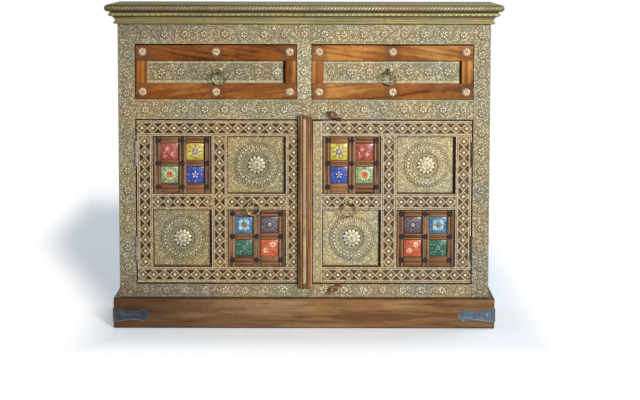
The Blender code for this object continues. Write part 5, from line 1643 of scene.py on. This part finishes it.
# Each reed: where it starts and stops on the way from the fillet to the edge, its depth, and its wood.
REEDS = {
    -1.0: ((0.20, 0.57, 0.0022, 1), (0.59, 1.00, 0.0044, 0)),
    1.0: ((0.03, 0.30, 0.0028, 1), (0.32, 0.66, 0.0022, 2), (0.68, 1.00, 0.0044, 2)),
}
low, high = STRIP_LOW, STRIP_HIGH
middle = (low.x + high.x) / 2 + FILLET_SHIFT
left, right = middle - FILLET_HALF, middle + FILLET_HALF
strip = new_boards()
add_board(strip, (low.x, low.y + CORE_FACE, low.z), high, "Z", 4.0, 0.0012)
for sign, start, edge in ((-1.0, left, low.x), (1.0, right, high.x)):
    for index, (near, far, depth, wood) in enumerate(REEDS[sign]):
        xs = sorted(start + (edge - start) * share for share in (near, far))
        reed_low = (xs[0], low.y + depth, low.z + REED_STEP * index)
        reed_high = (xs[1], low.y + REED_BACK, high.z - REED_STEP * index)
        add_board(strip, reed_low, reed_high, "Z", 5.0 + index + sign, 0.0018, wood)
for foot, head, wood in ((low.z, low.z + FILLET_FOOT, 0), (high.z - FILLET_HEAD, high.z, 1)):
    block_low, block_high = (left, low.y + BLOCK_FACE, foot), (right, low.y + REED_BACK, head)
    add_board(strip, block_low, block_high, "Z", 7.0, 0.0012, wood)
make_piece("closing_strip_mould", strip, "right_door", "lattice_wood", *STRIP_WOODS,
           replaces=("closing_strip",))

fillet = new_boards()
fillet_high = (right, low.y + FILLET_DEPTH, high.z - FILLET_HEAD)
add_board(fillet, (left, low.y, low.z + FILLET_FOOT), fillet_high, "Z", 8.0, 0.0016)
make_piece("closing_strip_fillet", fillet, "right_door", "lattice_wood", FILLET_WOOD)

# A dark lath of painted shadow beside the strip, on the door's face.
door_low, door_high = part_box("right_door_frame")
shadow_lath = new_boards()
shadow_lath_high = (high.x + STRIP_SHADE_WIDTH, FRONT + STRIP_SHADE_RISE, door_high.z)
add_board(shadow_lath, (high.x, FRONT - STRIP_SHADE_RISE, door_low.z), shadow_lath_high, "Z", 9.0, 0.0006)
make_piece("closing_strip_shadow_lath", shadow_lath, "right_door", "lattice_wood", SHADED_WOOD)

# %% [markdown]
# ## Ring pulls
# A brass ring hangs in a small ball on each drawer and door. Sweeping a circle of wire round the ring's own
# axis makes it; the ball on its foot keeps the CAD shape, with its hole for the wire.

# %% Rings
WIRE = 0.0025
WIRE_SIDES = 12
RING_STEPS = 48
for place in ("left_drawer", "right_drawer", "left_door", "right_door"):
    node = place + "_pull_ring"
    low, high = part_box(node)
    middle = (low + high) / 2
    section = Matrix.Translation((high.x - WIRE, middle.y, middle.z))
    ring = bmesh.new()
    bmesh.ops.create_circle(ring, segments=WIRE_SIDES, radius=WIRE, matrix=section)
    bmesh.ops.spin(ring, geom=ring.verts[:] + ring.edges[:], cent=middle, axis=(0.0, 1.0, 0.0),
                   angle=math.tau, steps=RING_STEPS, use_merge=True)
    bmesh.ops.recalc_face_normals(ring, faces=ring.faces[:])
    brass = BRASS[place.split("_")[1]]
    make_piece(place + "_ring_wire", ring, place + "_ring", "brass", brass, replaces=(node,), sharp=80.0)

# %% [markdown]
# ## Iron straps and turn buttons
# The plinth's corner straps are cut from sheet iron with a filed edge, so their faces are set in a little
# from the outline. The turn buttons are whittled leaves of wood. Both start from a merged copy of the CAD
# node, whose shape is right, and get what the CAD leaves out: the filed margin and the softened edges.

# %% Straps
FILED_MARGIN = 0.0022
FILED_DEPTH = 0.0006
SMALLEST_FACE = 0.00002
STRAP_NAIL_IN = 0.0290
STRAP_NAIL = coated(bump(0.0062, 0.0062, 0.0006, 0.0, 10, 0.6), 1)
for side, sign in SIDES.items():
    node = "corner_strap_" + side
    strap = merged_copy(node)
    for normal in (OUTWARD, Vector((sign, 0.0, 0.0))):
        facing = [face for face in strap.faces if face.normal.dot(normal) > 0.999]
        flat = [face for face in facing if face.calc_area() > SMALLEST_FACE]
        rim = bmesh.ops.inset_region(strap, faces=flat, thickness=FILED_MARGIN, depth=-FILED_DEPTH,
                                     use_even_offset=True)
        for face in rim["faces"]:
            face.material_index = 1
    low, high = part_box(node)
    strap.verts.layers.float.new("crest")
    nail_x = sign * (max(abs(low.x), abs(high.x)) - STRAP_NAIL_IN)
    stamp(strap, STRAP_NAIL, at(nail_x, low.y + FILED_DEPTH, (low.z + high.z) / 2))
    make_piece(node + "_filed", strap, "case", "iron", IRON[side], IRON_EDGE[side], replaces=(node,),
               sharp=30.0)

# %% Turn buttons
WHITTLED_ANGLE = math.radians(40)
WHITTLED = 0.0012
LEAF_STRETCH = 1.4
for place in ("upper", "lower"):
    node = place + "_turn_button"
    leaf = merged_copy(node)
    folded = [edge for edge in leaf.edges if len(edge.link_faces) == 2]
    edges = [edge for edge in folded if edge.calc_face_angle() > WHITTLED_ANGLE]
    bmesh.ops.bevel(leaf, geom=edges, offset=WHITTLED, segments=2, profile=0.5, affect="EDGES", material=-1,
                    clamp_overlap=True)
    grain = leaf.verts.layers.float_vector.new("grain")
    leaf.verts.layers.float.new("stain")
    for vert in leaf.verts:
        vert[grain] = (vert.co.x * LEAF_STRETCH, vert.co.z, vert.co.y)
    make_piece(node + "_leaf", leaf, place + "_button", "lattice_wood", LATTICE_WOOD, replaces=(node,),
               sharp=35.0)
